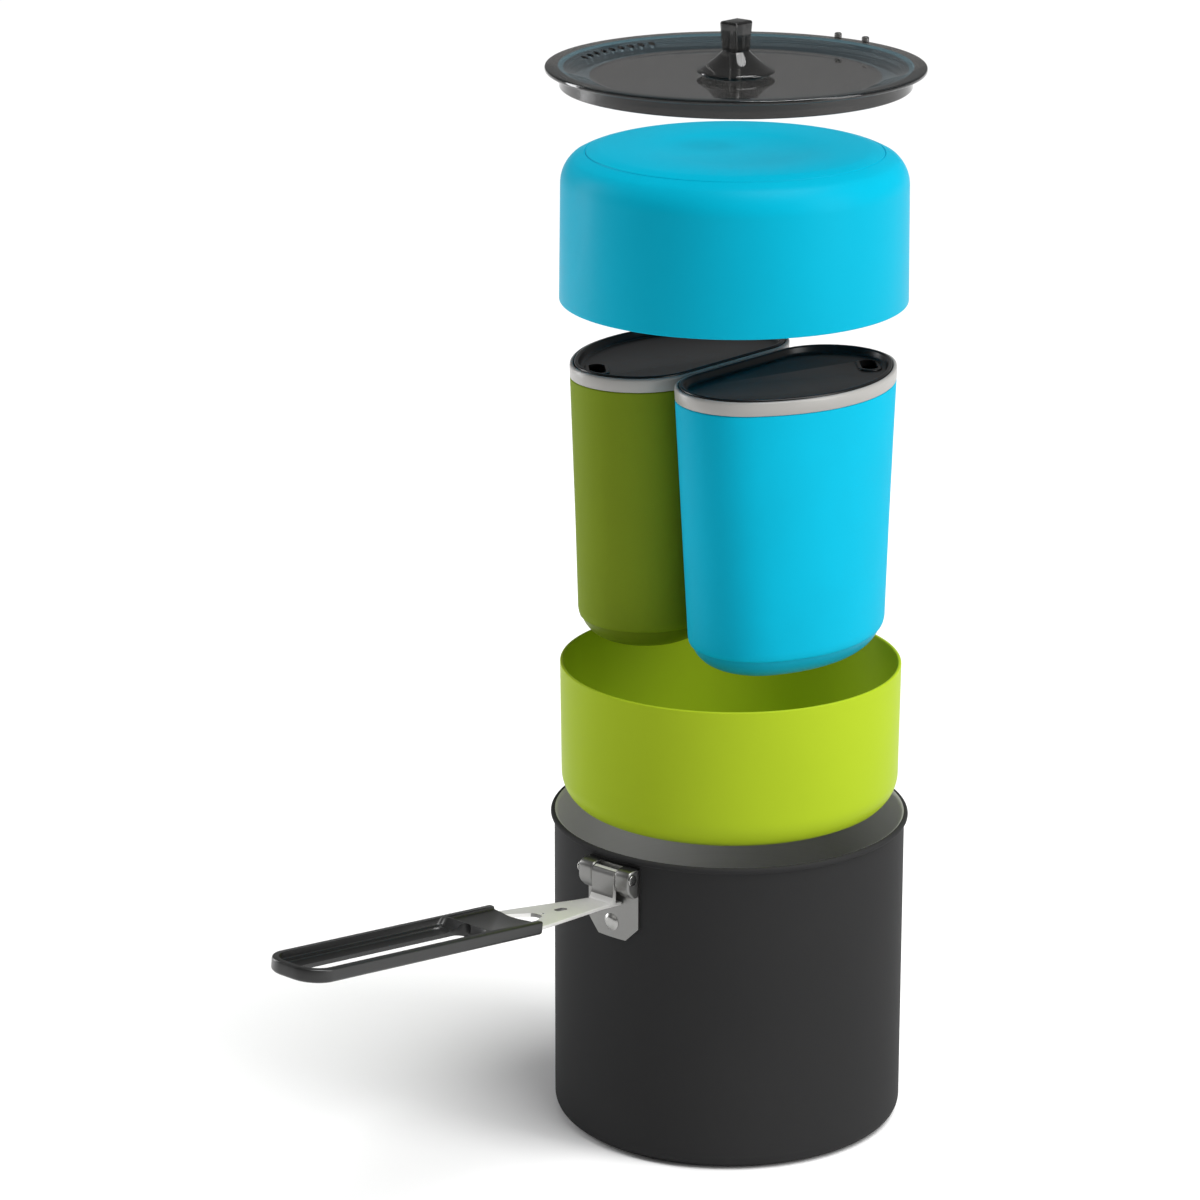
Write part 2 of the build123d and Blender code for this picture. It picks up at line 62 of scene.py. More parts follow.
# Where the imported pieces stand
POT_HIGH = corners("pot_shell")[1]
LID_LOW, LID_HIGH = corners("pot_lid")
KNOB_LOW, KNOB_HIGH = corners("lid_knob")
PIN_LOW, PIN_HIGH = corners("hinge_pin")
PIN_X, PIN_Z = (PIN_LOW.x + PIN_HIGH.x) / 2, (PIN_LOW.z + PIN_HIGH.z) / 2
BRACKET_LOW, BRACKET_HIGH = corners("handle_bracket")
MUG_BASE_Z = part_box("blue_mug_foot")[0][2]
MUG_TOP_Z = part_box("blue_mug_lid")[1][2]
MUG_TALL = MUG_TOP_Z - MUG_BASE_Z
FLANGE_Z = LID_LOW.z + 8.2 * MM  # top of the lid's flange over its skirt

# Where the camera stands in metres, its tilt and turn in degrees, and its lens in millimetres
EYE = (-1.34497, -1.11884, 0.76259)
EYE_TILT, EYE_TURN = 72.76, -48.5
LENS, SENSOR = 135.21, 36.0


def length(name, text, default, **more):
    """A length property in metres from a default in millimetres."""
    return FloatProperty(name=name, description=text, default=default * MM, unit="LENGTH", precision=5, **more)


def colour(name, text, default):
    """A colour property, as linear red, green and blue."""
    return FloatVectorProperty(
        name=name, description=text, default=default, subtype="COLOR", size=3, min=0.0, max=1.0
    )


def share(name, text, default):
    """A property from 0 to 1."""
    return FloatProperty(name=name, description=text, default=default, min=0.0, max=1.0, subtype="FACTOR")


class PotSettings(bpy.types.PropertyGroup):
    wall: length("Wall", "Thickness of the drawn wall", 1.2)
    corner: length("Corner radius", "Outside radius between side and underside", 5.8)
    bead: length("Rim bead", "Radius of the rolled rim", 1.2)
    outside: colour("Outside colour", "Hard-anodised colour of the outside", (0.028, 0.028, 0.0285))
    inside: colour("Inside colour", "Satin colour of the inside", (0.40, 0.40, 0.40))


class BowlSettings(bpy.types.PropertyGroup):
    wall: length("Wall", "Thickness of the moulded wall", 1.4)
    side: length("Side radius", "Outside radius where the side meets the shoulder", 69.05)
    shoulder: length("Shoulder height", "Height of the rounded shoulder over the base", 14.0)
    crease: length("Crease radius", "Radius of the crease between base and shoulder", 64.3)
    foot: length("Base radius", "Radius of the flat ring that the bowl stands on", 53.0)
    dish: length("Dish radius", "Radius of the shallow dish in the underside", 30.0)
    green: colour("Lower bowl colour", "Colour of the lower bowl", (0.34, 0.455, 0.018))
    blue: colour("Upper bowl colour", "Colour of the upper bowl", (0.001, 0.366, 0.53))


class MugSettings(bpy.types.PropertyGroup):
    radius: length("Top radius", "Radius of the round side at the rim", 65.5)
    taper: length("Taper", "How much smaller the round side is at the base", 3.4)
    flat: length("Flat offset", "Distance of the flat side from the middle at the rim", 0.5)
    flat_taper: length("Flat taper", "How much further the flat side lies at the base", 2.0)
    corner: length("Corner radius", "Radius of the corners seen from above", 27.0)
    sleeve: length("Sleeve", "Thickness of the foam sleeve", 3.0)
    band: length("Rim band", "Height of the bare rim over the sleeve", 5.6)
    foot: length("Foot height", "Height of the moulded foot", 8.8)
    foot_round: length("Foot rounding", "Radius of the rounded bottom edge", 13.0)
    rim: colour("Rim colour", "Colour of the cup and its rim", (0.335, 0.325, 0.31))
    green: colour("First sleeve colour", "Colour of one mug's sleeve", (0.17, 0.235, 0.014))
    blue: colour("Second sleeve colour", "Colour of the other mug's sleeve", (0.001, 0.37, 0.54))
    lid: colour("Lid colour", "Colour of the sip lids", (0.007, 0.0068, 0.007))


class HandleSettings(bpy.types.PropertyGroup):
    rise: FloatProperty(
        name="Rise", description="Upward slope of the handle", default=radians(7.4), unit="ROTATION"
    )
    half: length("Half width", "Half of the grip's width", 14.35)
    depth: length("Depth", "Height of the grip's side rails", 5.4)
    rail: length("Rail", "Thickness of the grip's side rails", 2.6)
    sheet: length("Sheet", "Thickness of the steel sheet", 1.5)
    grip: colour("Grip colour", "Colour of the moulded grip", (0.010, 0.0101, 0.010))
    steel: colour("Steel colour", "Colour of the stamped steel", (0.70, 0.695, 0.675))


class LidSettings(bpy.types.PropertyGroup):
    recess: length("Recess", "Depth of the panel under the flange", 4.4)
    panel: length("Panel radius", "Radius of the flat panel", 57.0)
    holes: IntProperty(name="Strainer holes", description="Number of strainer holes", default=9, min=1)
    hole: length("Hole radius", "Radius of one strainer hole", 1.5)
    tint: colour("Tint", "Colour of the see-through lid", (0.07, 0.0685, 0.066))
    # The wall and lip tints are painted reflection: their lighter blue stands for the blue bowl seen in the
    # clear plastic
    wall: colour("Wall tint", "Colour of the sloping wall round the lid's panel", (0.10, 0.165, 0.20))
    lip: colour("Lip tint", "Colour of the rounded lip over that wall", (0.09, 0.20, 0.245))
    knob: colour("Knob tint", "Colour of the knob", (0.045, 0.045, 0.044))


class StageSettings(bpy.types.PropertyGroup):
    floor: colour("Floor colour", "Colour of the floor and backdrop", (0.93, 0.93, 0.93))
    key: FloatProperty(
        name="Key light", description="Power of the large soft light", default=17.5, unit="POWER"
    )
    side: FloatProperty(
        name="Side light", description="Power of the narrow side light", default=12.0, unit="POWER"
    )
    overhead: FloatProperty(name="Overhead", description="Strength of the broad light from above", default=3.0)
    sky: share("Sky", "Strength of the light from all around", 0.22)


# ------------------------------------------------------------------ shapes


def chain(bm, points, rounds=(), closed=False, clamp=False):
    """A chain of edges through the points; rounds gives index, radius and segments of rounded corners."""
    verts = [bm.verts.new(point) for point in points]
    for pair in zip(verts, verts[1:] + (verts[:1] if closed else [])):
        bm.edges.new(pair)
    for index, radius, segments in rounds:
        bmesh.ops.bevel(
            bm, geom=[verts[index]], offset=radius, affect="VERTICES", segments=segments, profile=0.5,
            material=-1, clamp_overlap=clamp,
        )


def lathe(bm, points, rounds=(), steps=180):
    """Turns a profile of (radius, height) points round the Z axis."""
    chain(bm, [(radius, 0.0, height) for radius, height in points], rounds, clamp=True)
    bmesh.ops.spin(
        bm, geom=bm.verts[:] + bm.edges[:], cent=(0, 0, 0), axis=(0, 0, 1), dvec=(0, 0, 0),
        angle=2 * pi, steps=steps, use_merge=True,
    )
    bmesh.ops.remove_doubles(bm, verts=bm.verts[:], dist=1e-7)


def thicken(bm, offset):
    """Extrudes all faces by an offset and gives the vertices that it moved."""
    extruded = bmesh.ops.extrude_face_region(bm, geom=bm.faces[:])
    moved = [item for item in extruded["geom"] if isinstance(item, bmesh.types.BMVert)]
    bmesh.ops.translate(bm, verts=moved, vec=offset)
    return moved


def round_edges(bm, edges, radius):
    """Rounds the edges in four segments."""
    bmesh.ops.bevel(bm, geom=edges, offset=radius, affect="EDGES", segments=4, profile=0.5, material=-1)


def smooth(bm, sharp):
    """Smooth shading with sharp edges past an angle in degrees."""
    for face in bm.faces:
        face.smooth = True
    for edge in bm.edges:
        edge.smooth = edge.calc_face_angle(pi) < radians(sharp)


def make_object(bm, name, materials, sharp=32.0, outward=True):
    """Turns a finished bmesh into an object at the origin, smooth but for its sharp edges."""
    bmesh.ops.remove_doubles(bm, verts=bm.verts[:], dist=1e-6)
    if outward:
        bmesh.ops.recalc_face_normals(bm, faces=bm.faces[:])
    smooth(bm, sharp)
    mesh = bpy.data.meshes.new(name)
    bm.to_mesh(mesh)
    bm.free()
    for material in materials:
        mesh.materials.append(material)
    piece = bpy.data.objects.new(name, mesh)
    bpy.context.scene.collection.objects.link(piece)
    return piece


def bake_modifiers(piece):
    """Puts the result of the piece's modifiers into its mesh."""
    graph = bpy.context.evaluated_depsgraph_get()
    graph.update()
    mesh = bpy.data.meshes.new_from_object(piece.evaluated_get(graph))
    old = piece.data
    piece.modifiers.clear()
    piece.data = mesh
    bpy.data.meshes.remove(old)


def combine(piece, tool, operation):
    """Cuts the tool out of the piece, or joins it on, and removes the tool."""
    bpy.context.view_layer.update()
    step = piece.modifiers.new("combine", "BOOLEAN")
    step.object = tool
    step.operation = operation
    step.solver = "EXACT"
    bake_modifiers(piece)
    mesh = tool.data
    bpy.data.objects.remove(tool)
    bpy.data.meshes.remove(mesh)
    if not piece.data.polygons:
        raise RuntimeError(f"{piece.name} vanished while it was being cut")


def smooth_again(piece, sharp):
    """Sets the shading again after a cut."""
    bm = bmesh.new()
    bm.from_mesh(piece.data)
    smooth(bm, sharp)
    bm.to_mesh(piece.data)
    bm.free()


def settle(piece, body, slot, *nodes):
    """Hides the imported pieces that the piece stands for and hangs it on its body; the slot is not used."""
    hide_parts(*nodes)
    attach(piece, body)


# ------------------------------------------------------------------ materials


def socket_kind(label):
    """Color and Dark are colours, and every other group socket is a number."""
    return "NodeSocketColor" if label in ("Color", "Dark") else "NodeSocketFloat"


def node_group(name, inputs, outputs):
    """An empty shader group with inputs, by name and default, and outputs."""
    group = bpy.data.node_groups.new(name, "ShaderNodeTree")
    for label, default in inputs.items():
        socket = group.interface.new_socket(label, in_out="INPUT", socket_type=socket_kind(label))
        socket.default_value = default
    for label in outputs:
        group.interface.new_socket(label, in_out="OUTPUT", socket_type=socket_kind(label))
    return group, group.nodes.new("NodeGroupInput"), group.nodes.new("NodeGroupOutput")


def add_node(tree, kind, inputs=None, **settings):
    """A new shader node with its settings made and then its input values."""
    node = tree.nodes.new("ShaderNode" + kind)
    for name, value in settings.items():
        setattr(node, name, value)
    for label, value in (inputs or {}).items():
        node.inputs[label].default_value = value
    return node


def wire(tree, *links):
    """Links sockets, each link given as node, output, node, input."""
    for source, output, target, entry in links:
        tree.links.new(source.outputs[output], target.inputs[entry])


def surface_group():
    """Fine grain and slow clouding: gives a colour, a roughness and a height."""
    group, given, result = node_group(
        "moulded_surface",
        {
            "Color": (0.5, 0.5, 0.5, 1), "Dark": (0.4, 0.4, 0.4, 1), "Grain Scale": 900.0,
            "Cloud Scale": 18.0, "Roughness Low": 0.35, "Roughness High": 0.5,
        },
        ("Color", "Roughness", "Height"),
    )
    where = add_node(group, "TexCoord")
    grain = add_node(group, "TexNoise", {"Detail": 3.0})
    cloud = add_node(group, "TexNoise", {"Detail": 4.0})
    both = add_node(group, "Math", {1: 0.35}, operation="MULTIPLY_ADD")
    mix = add_node(group, "Mix", data_type="RGBA")
    rough = add_node(group, "MapRange")
    wire(
        group,
        (where, "Object", grain, "Vector"), (where, "Object", cloud, "Vector"),
        (given, "Grain Scale", grain, "Scale"), (given, "Cloud Scale", cloud, "Scale"),
        (grain, "Fac", both, 0), (cloud, "Fac", both, 2), (both, 0, mix, "Factor"),
        (given, "Dark", mix, "A"), (given, "Color", mix, "B"), (cloud, "Fac", rough, "Value"),
        (given, "Roughness Low", rough, "To Min"), (given, "Roughness High", rough, "To Max"),
        (mix, "Result", result, "Color"), (rough, "Result", result, "Roughness"),
        (grain, "Fac", result, "Height"),
    )


def turned_group():
    """Faint rings left by turning and brushing, around the Z axis: gives a mask and a height."""
    group, given, result = node_group(
        "turned_rings", {"Ring Scale": 1400.0, "Streak Scale": 6.0}, ("Mask", "Height")
    )
    where = add_node(group, "TexCoord")
    split = add_node(group, "SeparateXYZ")
    flat = add_node(group, "VectorMath", {1: (1.0, 1.0, 0.0)}, operation="MULTIPLY")
    reach = add_node(group, "VectorMath", operation="LENGTH")
    join = add_node(group, "CombineXYZ")
    ring = add_node(group, "TexNoise", {"Detail": 2.0})
    slow = add_node(group, "TexNoise")
    product = add_node(group, "Math", operation="MULTIPLY")
    wire(
        group,
        (where, "Object", split, 0), (where, "Object", flat, 0), (where, "Object", slow, "Vector"),
        (flat, 0, reach, 0), (reach, "Value", join, "X"), (split, "Z", join, "Z"), (join, 0, ring, "Vector"),
        (given, "Ring Scale", ring, "Scale"), (given, "Streak Scale", slow, "Scale"),
        (ring, "Fac", product, 0), (slow, "Fac", product, 1),
        (product, 0, result, "Mask"), (ring, "Fac", result, "Height"),
    )


def weave_group():
    """Fine knitted face of a foam sleeve: gives a mask and a height."""
    group, given, result = node_group("knit_face", {"Rows": 4200.0}, ("Mask", "Height"))
    where = add_node(group, "TexCoord")
    waves = []
    for direction in ("X", "Y", "Z"):
        wave = add_node(
            group, "TexWave", {"Distortion": 1.2, "Detail": 1.0}, wave_type="BANDS", bands_direction=direction
        )
        wire(group, (where, "Object", wave, "Vector"), (given, "Rows", wave, "Scale"))
        waves.append(wave)
    across = add_node(group, "Math", operation="ADD")
    knit = add_node(group, "Math", operation="MULTIPLY")
    wire(
        group,
        (waves[0], "Fac", across, 0), (waves[1], "Fac", across, 1),
        (across, 0, knit, 0), (waves[2], "Fac", knit, 1),
        (knit, 0, result, "Mask"), (knit, 0, result, "Height"),
    )


def dim(value, amount):
    """The colour times an amount."""
    return tuple(channel * amount for channel in value)


def shader(name, depth, fine, sockets):
    """A new material with its shader's sockets set, and a bump of a strength and a height in mm."""
    material = bpy.data.materials.new(name)
    material.use_nodes = True
    tree = material.node_tree
    bsdf = tree.nodes["Principled BSDF"]
    for label, value in sockets.items():
        bsdf.inputs[label].default_value = value
    bump = add_node(tree, "Bump", {"Strength": depth, "Distance": fine * MM})
    wire(tree, (bump, "Normal", bsdf, "Normal"))
    return material, tree, bsdf, bump


def grained(name, base, dark, rough, grain, cloud, sockets, depth=0.02, fine=0.02):
    """A material with the shared grain and slow clouding in its colour, roughness and bump."""
    material, tree, bsdf, bump = shader(name, depth, fine, sockets)
    surface = add_node(
        tree, "Group",
        {
            "Color": (*base, 1), "Dark": (*dark, 1), "Grain Scale": grain, "Cloud Scale": cloud,
            "Roughness Low": rough[0], "Roughness High": rough[1],
        },
        node_tree=bpy.data.node_groups["moulded_surface"],
    )
    wire(
        tree,
        (surface, "Color", bsdf, "Base Color"), (surface, "Roughness", bsdf, "Roughness"),
        (surface, "Height", bump, "Height"),
    )
    return material


def moulded(name, base, deep, rough, grain, depth=0.02, fine=0.02, cloud=18.0, gloss=0.3):
    """Moulded plastic or anodised metal; deep dims its colour in the hollows of the grain."""
    return grained(name, base, dim(base, deep), rough, grain, cloud, {"Specular IOR Level": gloss}, depth, fine)


def brushed(name, base, rough, metallic=1.0):
    """Brushed or stamped steel with fine scratches."""
    return grained(name, dim(base, 1.05), dim(base, 0.84), rough, 1400.0, 60.0, {"Metallic": metallic}, 0.08)


def see_through(name, tint, transmission, roughness):
    """Smoky see-through plastic with faint moulding haze in its gloss."""
    sockets = {"Transmission Weight": transmission, "IOR": 1.46, "Specular IOR Level": 0.33}
    rough = (roughness, roughness + 0.05)
    return grained(name, tint, dim(tint, 0.92), rough, 300.0, 12.0, sockets, 0.01)


def knitted(name, base):
    """Foam sleeve with a fine knitted face."""
    sockets = {"Specular IOR Level": 0.04}
    material = grained(name, dim(base, 1.06), dim(base, 0.9), (0.5, 0.66), 1500.0, 22.0, sockets, 0.10, 0.04)
    tree = material.node_tree
    surface, bsdf, bump = (tree.nodes[kind] for kind in ("Group", "Principled BSDF", "Bump"))
    knit = add_node(tree, "Group", node_tree=bpy.data.node_groups["knit_face"])
    shade = add_node(tree, "Mix", {"B": (*dim(base, 0.72), 1)}, data_type="RGBA")
    weight = add_node(tree, "Math", {1: 0.12}, operation="MULTIPLY")
    wire(
        tree,
        (knit, "Mask", weight, 0), (weight, 0, shade, "Factor"), (surface, "Color", shade, "A"),
        (shade, "Result", bsdf, "Base Color"), (knit, "Height", bump, "Height"),
    )
    return material


def turned(name, base, rough, metallic, depth):
    """Turned or brushed metal with faint rings round the Z axis."""
    material, tree, bsdf, bump = shader(name, depth, 0.02, {"Metallic": metallic})
    rings = add_node(tree, "Group", node_tree=bpy.data.node_groups["turned_rings"])
    mix = add_node(tree, "Mix", {"A": (*dim(base, 0.86), 1), "B": (*dim(base, 1.16), 1)}, data_type="RGBA")
    spread = add_node(
        tree, "MapRange", {"From Min": 0.12, "From Max": 0.42, "To Min": rough[0], "To Max": rough[1]}
    )
    wire(
        tree,
        (rings, "Mask", mix, "Factor"), (rings, "Mask", spread, "Value"), (rings, "Height", bump, "Height"),
        (mix, "Result", bsdf, "Base Color"), (spread, "Result", bsdf, "Roughness"),
    )
    return material


# ------------------------------------------------------------------ operators


class COOKSET_OT_surfaces(bpy.types.Operator):
    """Build the shared shader groups that the cook set's materials use"""

    bl_idname = "cookset.surfaces"
    bl_label = "Shader Groups"

    def execute(self, context):
        surface_group()
        turned_group()
        weave_group()
        return {"FINISHED"}


class COOKSET_OT_pot(bpy.types.Operator):
    """Turn the drawn pot with its rolled rim"""

    bl_idname = "cookset.pot"
    bl_label = "Pot"

    def execute(self, context):
        pot = context.scene.cook_pot
        rim = POT_HIGH.x
        side = rim - pot.bead - 0.3 * MM
        inner = side - pot.wall
        top = POT_HIGH.z
        bm = bmesh.new()
        lathe(
            bm,
            (
                (0.0, pot.wall), (inner, pot.wall), (inner, top - 2.0 * MM),
                (inner + 0.3 * MM, top), (rim, top), (rim, top - 2 * pot.bead),
                (side, top - 2 * pot.bead - 0.2 * MM), (side, 0.0), (0.0, 0.0),
            ),
            (
                (1, pot.corner - pot.wall, 8), (2, 0.5 * MM, 2), (3, 1.0 * MM, 5), (4, 1.15 * MM, 6),
                (5, 1.1 * MM, 5), (6, 0.15 * MM, 2), (7, pot.corner, 10),
            ),
            steps=200,
        )
        outside = moulded(
            "pot_anodised", pot.outside, 0.82, (0.55, 0.66), 2600.0, depth=0.05, fine=0.03, gloss=0.03
        )
        inside = turned("pot_inside_satin", pot.inside, (0.34, 0.5), 0.2, 0.06)
        piece = make_object(bm, "pot_shell_turned", (outside, inside), sharp=40)
        for face in piece.data.polygons:
            outward = face.normal.x * face.center.x + face.normal.y * face.center.y
            floor = face.normal.z > 0.5 and face.center.z < 2 * pot.corner
            face.material_index = 1 if outward < -0.3 * side or floor else 0
        settle(piece, "pot", "pot_anodised", "pot_shell")
        return {"FINISHED"}


def arc_points(start, middle, end, steps):
    """Points on the circular arc through three (radius, height) points, without its two ends."""
    (x1, y1), (x2, y2), (x3, y3) = start, middle, end
    d = 2 * (x1 * (y2 - y3) + x2 * (y3 - y1) + x3 * (y1 - y2))
    ux = ((x1**2 + y1**2) * (y2 - y3) + (x2**2 + y2**2) * (y3 - y1) + (x3**2 + y3**2) * (y1 - y2)) / d
    uy = ((x1**2 + y1**2) * (x3 - x2) + (x2**2 + y2**2) * (x1 - x3) + (x3**2 + y3**2) * (x2 - x1)) / d
    radius = sqrt((x1 - ux) ** 2 + (y1 - uy) ** 2)
    first, last = atan2(y1 - uy, x1 - ux), atan2(y3 - uy, x3 - ux)
    while last - first > pi:
        last -= 2 * pi
    while first - last > pi:
        last += 2 * pi
    angles = [first + (last - first) * step / steps for step in range(1, steps)]
    return [(ux + radius * cos(a), uy + radius * sin(a)) for a in angles]


def turn_bowl(bowl, low, high, up, name, material):
    """Turns one bowl between the given corners; up is 1 for mouth up and -1 for mouth down."""
    wall, crease, side = bowl.wall, bowl.crease, bowl.side
    foot, drop, dish = bowl.foot, 3.8 * MM, 0.3 * MM
    height = high.z - low.z
    base_z = low.z if up > 0 else high.z

    def at(radius, level):
        return (radius, base_z + up * level)

    # Inside, from the middle to the rim
    floor_end, bend, wall_start = (
        at(foot - 0.4 * MM, wall), at(crease - 0.9 * MM, drop + wall * 0.78), at(side - wall, bowl.shoulder),
    )
    floor_arc = arc_points(floor_end, at(58.8 * MM, 1.45 * MM + wall * 0.98), bend, 6)
    wall_arc = arc_points(bend, at(67.9 * MM - wall * 0.93, 8.6 * MM + wall * 0.36), wall_start, 12)
    points = [at(0.0, dish + wall), at(bowl.dish - 1.5 * MM, dish + wall), at(bowl.dish, wall), floor_end]
    points += floor_arc + [bend] + wall_arc + [wall_start, at(high.x - wall, height)]
    lip = len(points) - 1
    # Outside, from the rim to the middle, with a fine groove that frames the base
    wall_start, bend, floor_end = at(side, bowl.shoulder), at(crease, drop), at(foot, 0.0)
    wall_arc = arc_points(wall_start, at(67.9 * MM, 8.6 * MM), bend, 14)
    floor_arc = arc_points(bend, at(59.2 * MM, 1.45 * MM), floor_end, 8)
    groove = [at(59.5 * MM, 1.55 * MM), at(59.2 * MM, 1.85 * MM), at(58.9 * MM, 1.36 * MM)]
    points += [at(high.x, height), wall_start] + wall_arc + [bend]
    points += [point for point in floor_arc if point[0] > 59.8 * MM] + groove
    points += [point for point in floor_arc if point[0] < 58.6 * MM] + [floor_end]
    points += [at(bowl.dish, 0.0), at(bowl.dish - 1.0 * MM, dish), at(0.0, dish)]
    bm = bmesh.new()
    lathe(bm, points, ((lip, 0.6 * MM, 4), (lip + 1, 0.6 * MM, 4)), steps=200)
    return make_object(bm, name, (material,), sharp=24)


class COOKSET_OT_bowls(bpy.types.Operator):
    """Turn the two moulded bowls, one mouth up and one mouth down"""

    bl_idname = "cookset.bowls"
    bl_label = "Bowls"

    def execute(self, context):
        bowl = context.scene.cook_bowl
        for name, tone, deep, up, body in (
            ("green", bowl.green, 0.88, 1, "lower_bowl"), ("blue", bowl.blue, 0.9, -1, "upper_bowl"),
        ):
            plastic = moulded(f"bowl_{name}_plastic", tone, deep, (0.33, 0.44), 1800.0, gloss=0.03)
            piece = turn_bowl(bowl, *corners(f"{name}_bowl"), up, f"{name}_bowl_turned", plastic)
            # The lifted lower bowl doesn't darken the pot under it
            piece.visible_shadow = up < 0
            settle(piece, body, f"bowl_{name}", f"{name}_bowl")
        return {"FINISHED"}


def polar(radius, angle, height):
    """A point at a radius and an angle round the Z axis."""
    return (radius * cos(angle), radius * sin(angle), height)


class COOKSET_OT_lid(bpy.types.Operator):
    """Turn the see-through lid, drill its strainer holes and stand its two rim nubs"""

    bl_idname = "cookset.lid"
    bl_label = "Lid"

    def execute(self, context):
        lid = context.scene.cook_lid
        top = FLANGE_Z
        rim = LID_HIGH.x
        panel_z = top - lid.recess
        under_z = panel_z - 1.6 * MM
        flange_z = top - 1.8 * MM
        skirt, skirt_in = 69.4 * MM, 67.6 * MM
        bm = bmesh.new()
        lathe(
            bm,
            (
                (0.0, panel_z), (lid.panel, panel_z), (68.3 * MM, top - 0.5 * MM), (69.6 * MM, top),
                (rim, top), (rim, flange_z), (skirt, flange_z), (skirt, LID_LOW.z),
                (skirt_in, LID_LOW.z), (skirt_in, top - 2.9 * MM),
                (lid.panel + 0.5 * MM, under_z), (0.0, under_z),
            ),
            (
                (1, 2.0 * MM, 5), (2, 0.6 * MM, 3), (3, 0.5 * MM, 3), (4, 0.8 * MM, 4), (5, 0.6 * MM, 3),
                (6, 0.5 * MM, 3), (7, 0.5 * MM, 3), (8, 0.5 * MM, 3), (9, 0.4 * MM, 2), (10, 2.0 * MM, 4),
            ),
            steps=200,
        )
        clear = see_through("smoke_clear_plastic", lid.tint, 0.95, 0.035)
        piece = make_object(bm, "pot_lid_turned", (clear,), sharp=40)
        strainer, pitch = 64.6 * MM, radians(4.6)
        for hole in range(lid.holes):
            angle = pi / 2 + pitch * (hole - (lid.holes - 1) / 2)
            place = polar(strainer, angle, top - 3 * MM)
            bm = bmesh.new()
            bmesh.ops.create_cone(
                bm, cap_ends=True, segments=20, radius1=lid.hole, radius2=lid.hole, depth=10 * MM,
                matrix=Matrix.Translation(place),
            )
            combine(piece, make_object(bm, "tool", ()), "DIFFERENCE")
        root, reach, tip, rim_nub = -1.0 * MM, 1.5 * MM, 2.2 * MM, 73.2 * MM
        for angle in (radians(-5.5), radians(5.5)):
            bm = bmesh.new()
            lathe(bm, ((0.0, root), (reach, root), (reach, tip), (0.0, tip)), ((2, 0.7 * MM, 4),), steps=24)
            bmesh.ops.translate(bm, verts=bm.verts[:], vec=polar(rim_nub, angle, top))
            combine(piece, make_object(bm, "nub", (clear,)), "UNION")
        self.paint_lid_reflection_and_shade(piece, lid, top)
        smooth_again(piece, 40)
        piece.visible_shadow = False
        settle(piece, "lid", "smoke_clear", "pot_lid")
        return {"FINISHED"}

    def paint_lid_reflection_and_shade(self, piece, lid, top):
        """Painted reflection and shade: the sloping wall and its lip take lighter blue tints that paint in the
        blue bowl seen in the clear plastic, and the deep skirt a darker tint that paints shade.
        """
        for part, tint, transmission, roughness in (
            ("wall", lid.wall, 0.9, 0.04), ("lip", lid.lip, 0.6, 0.05),
            # Painted shade: the deep skirt takes the lid's tint at a quarter, a darker copy of the same plastic
            ("skirt", dim(lid.tint, 0.25), 0.8, 0.05),
        ):
            piece.data.materials.append(see_through(f"smoke_clear_{part}", tint, transmission, roughness))
        reflection_wall_slot, reflection_lip_slot, shaded_skirt_slot = 1, 2, 3
        lip_from, lip_to = 67.4 * MM, 69.9 * MM
        for face in piece.data.polygons:
            radius = face.center.xy.length
            if face.normal.z > 0.15 and top - lid.recess + 0.15 * MM < face.center.z < top + 0.1 * MM:
                if lid.panel < radius < lip_from:
                    face.material_index = reflection_wall_slot
                elif lip_from <= radius < lip_to:
                    face.material_index = reflection_lip_slot
            elif radius > 67.0 * MM and face.center.z < top - 1.9 * MM:
                face.material_index = shaded_skirt_slot


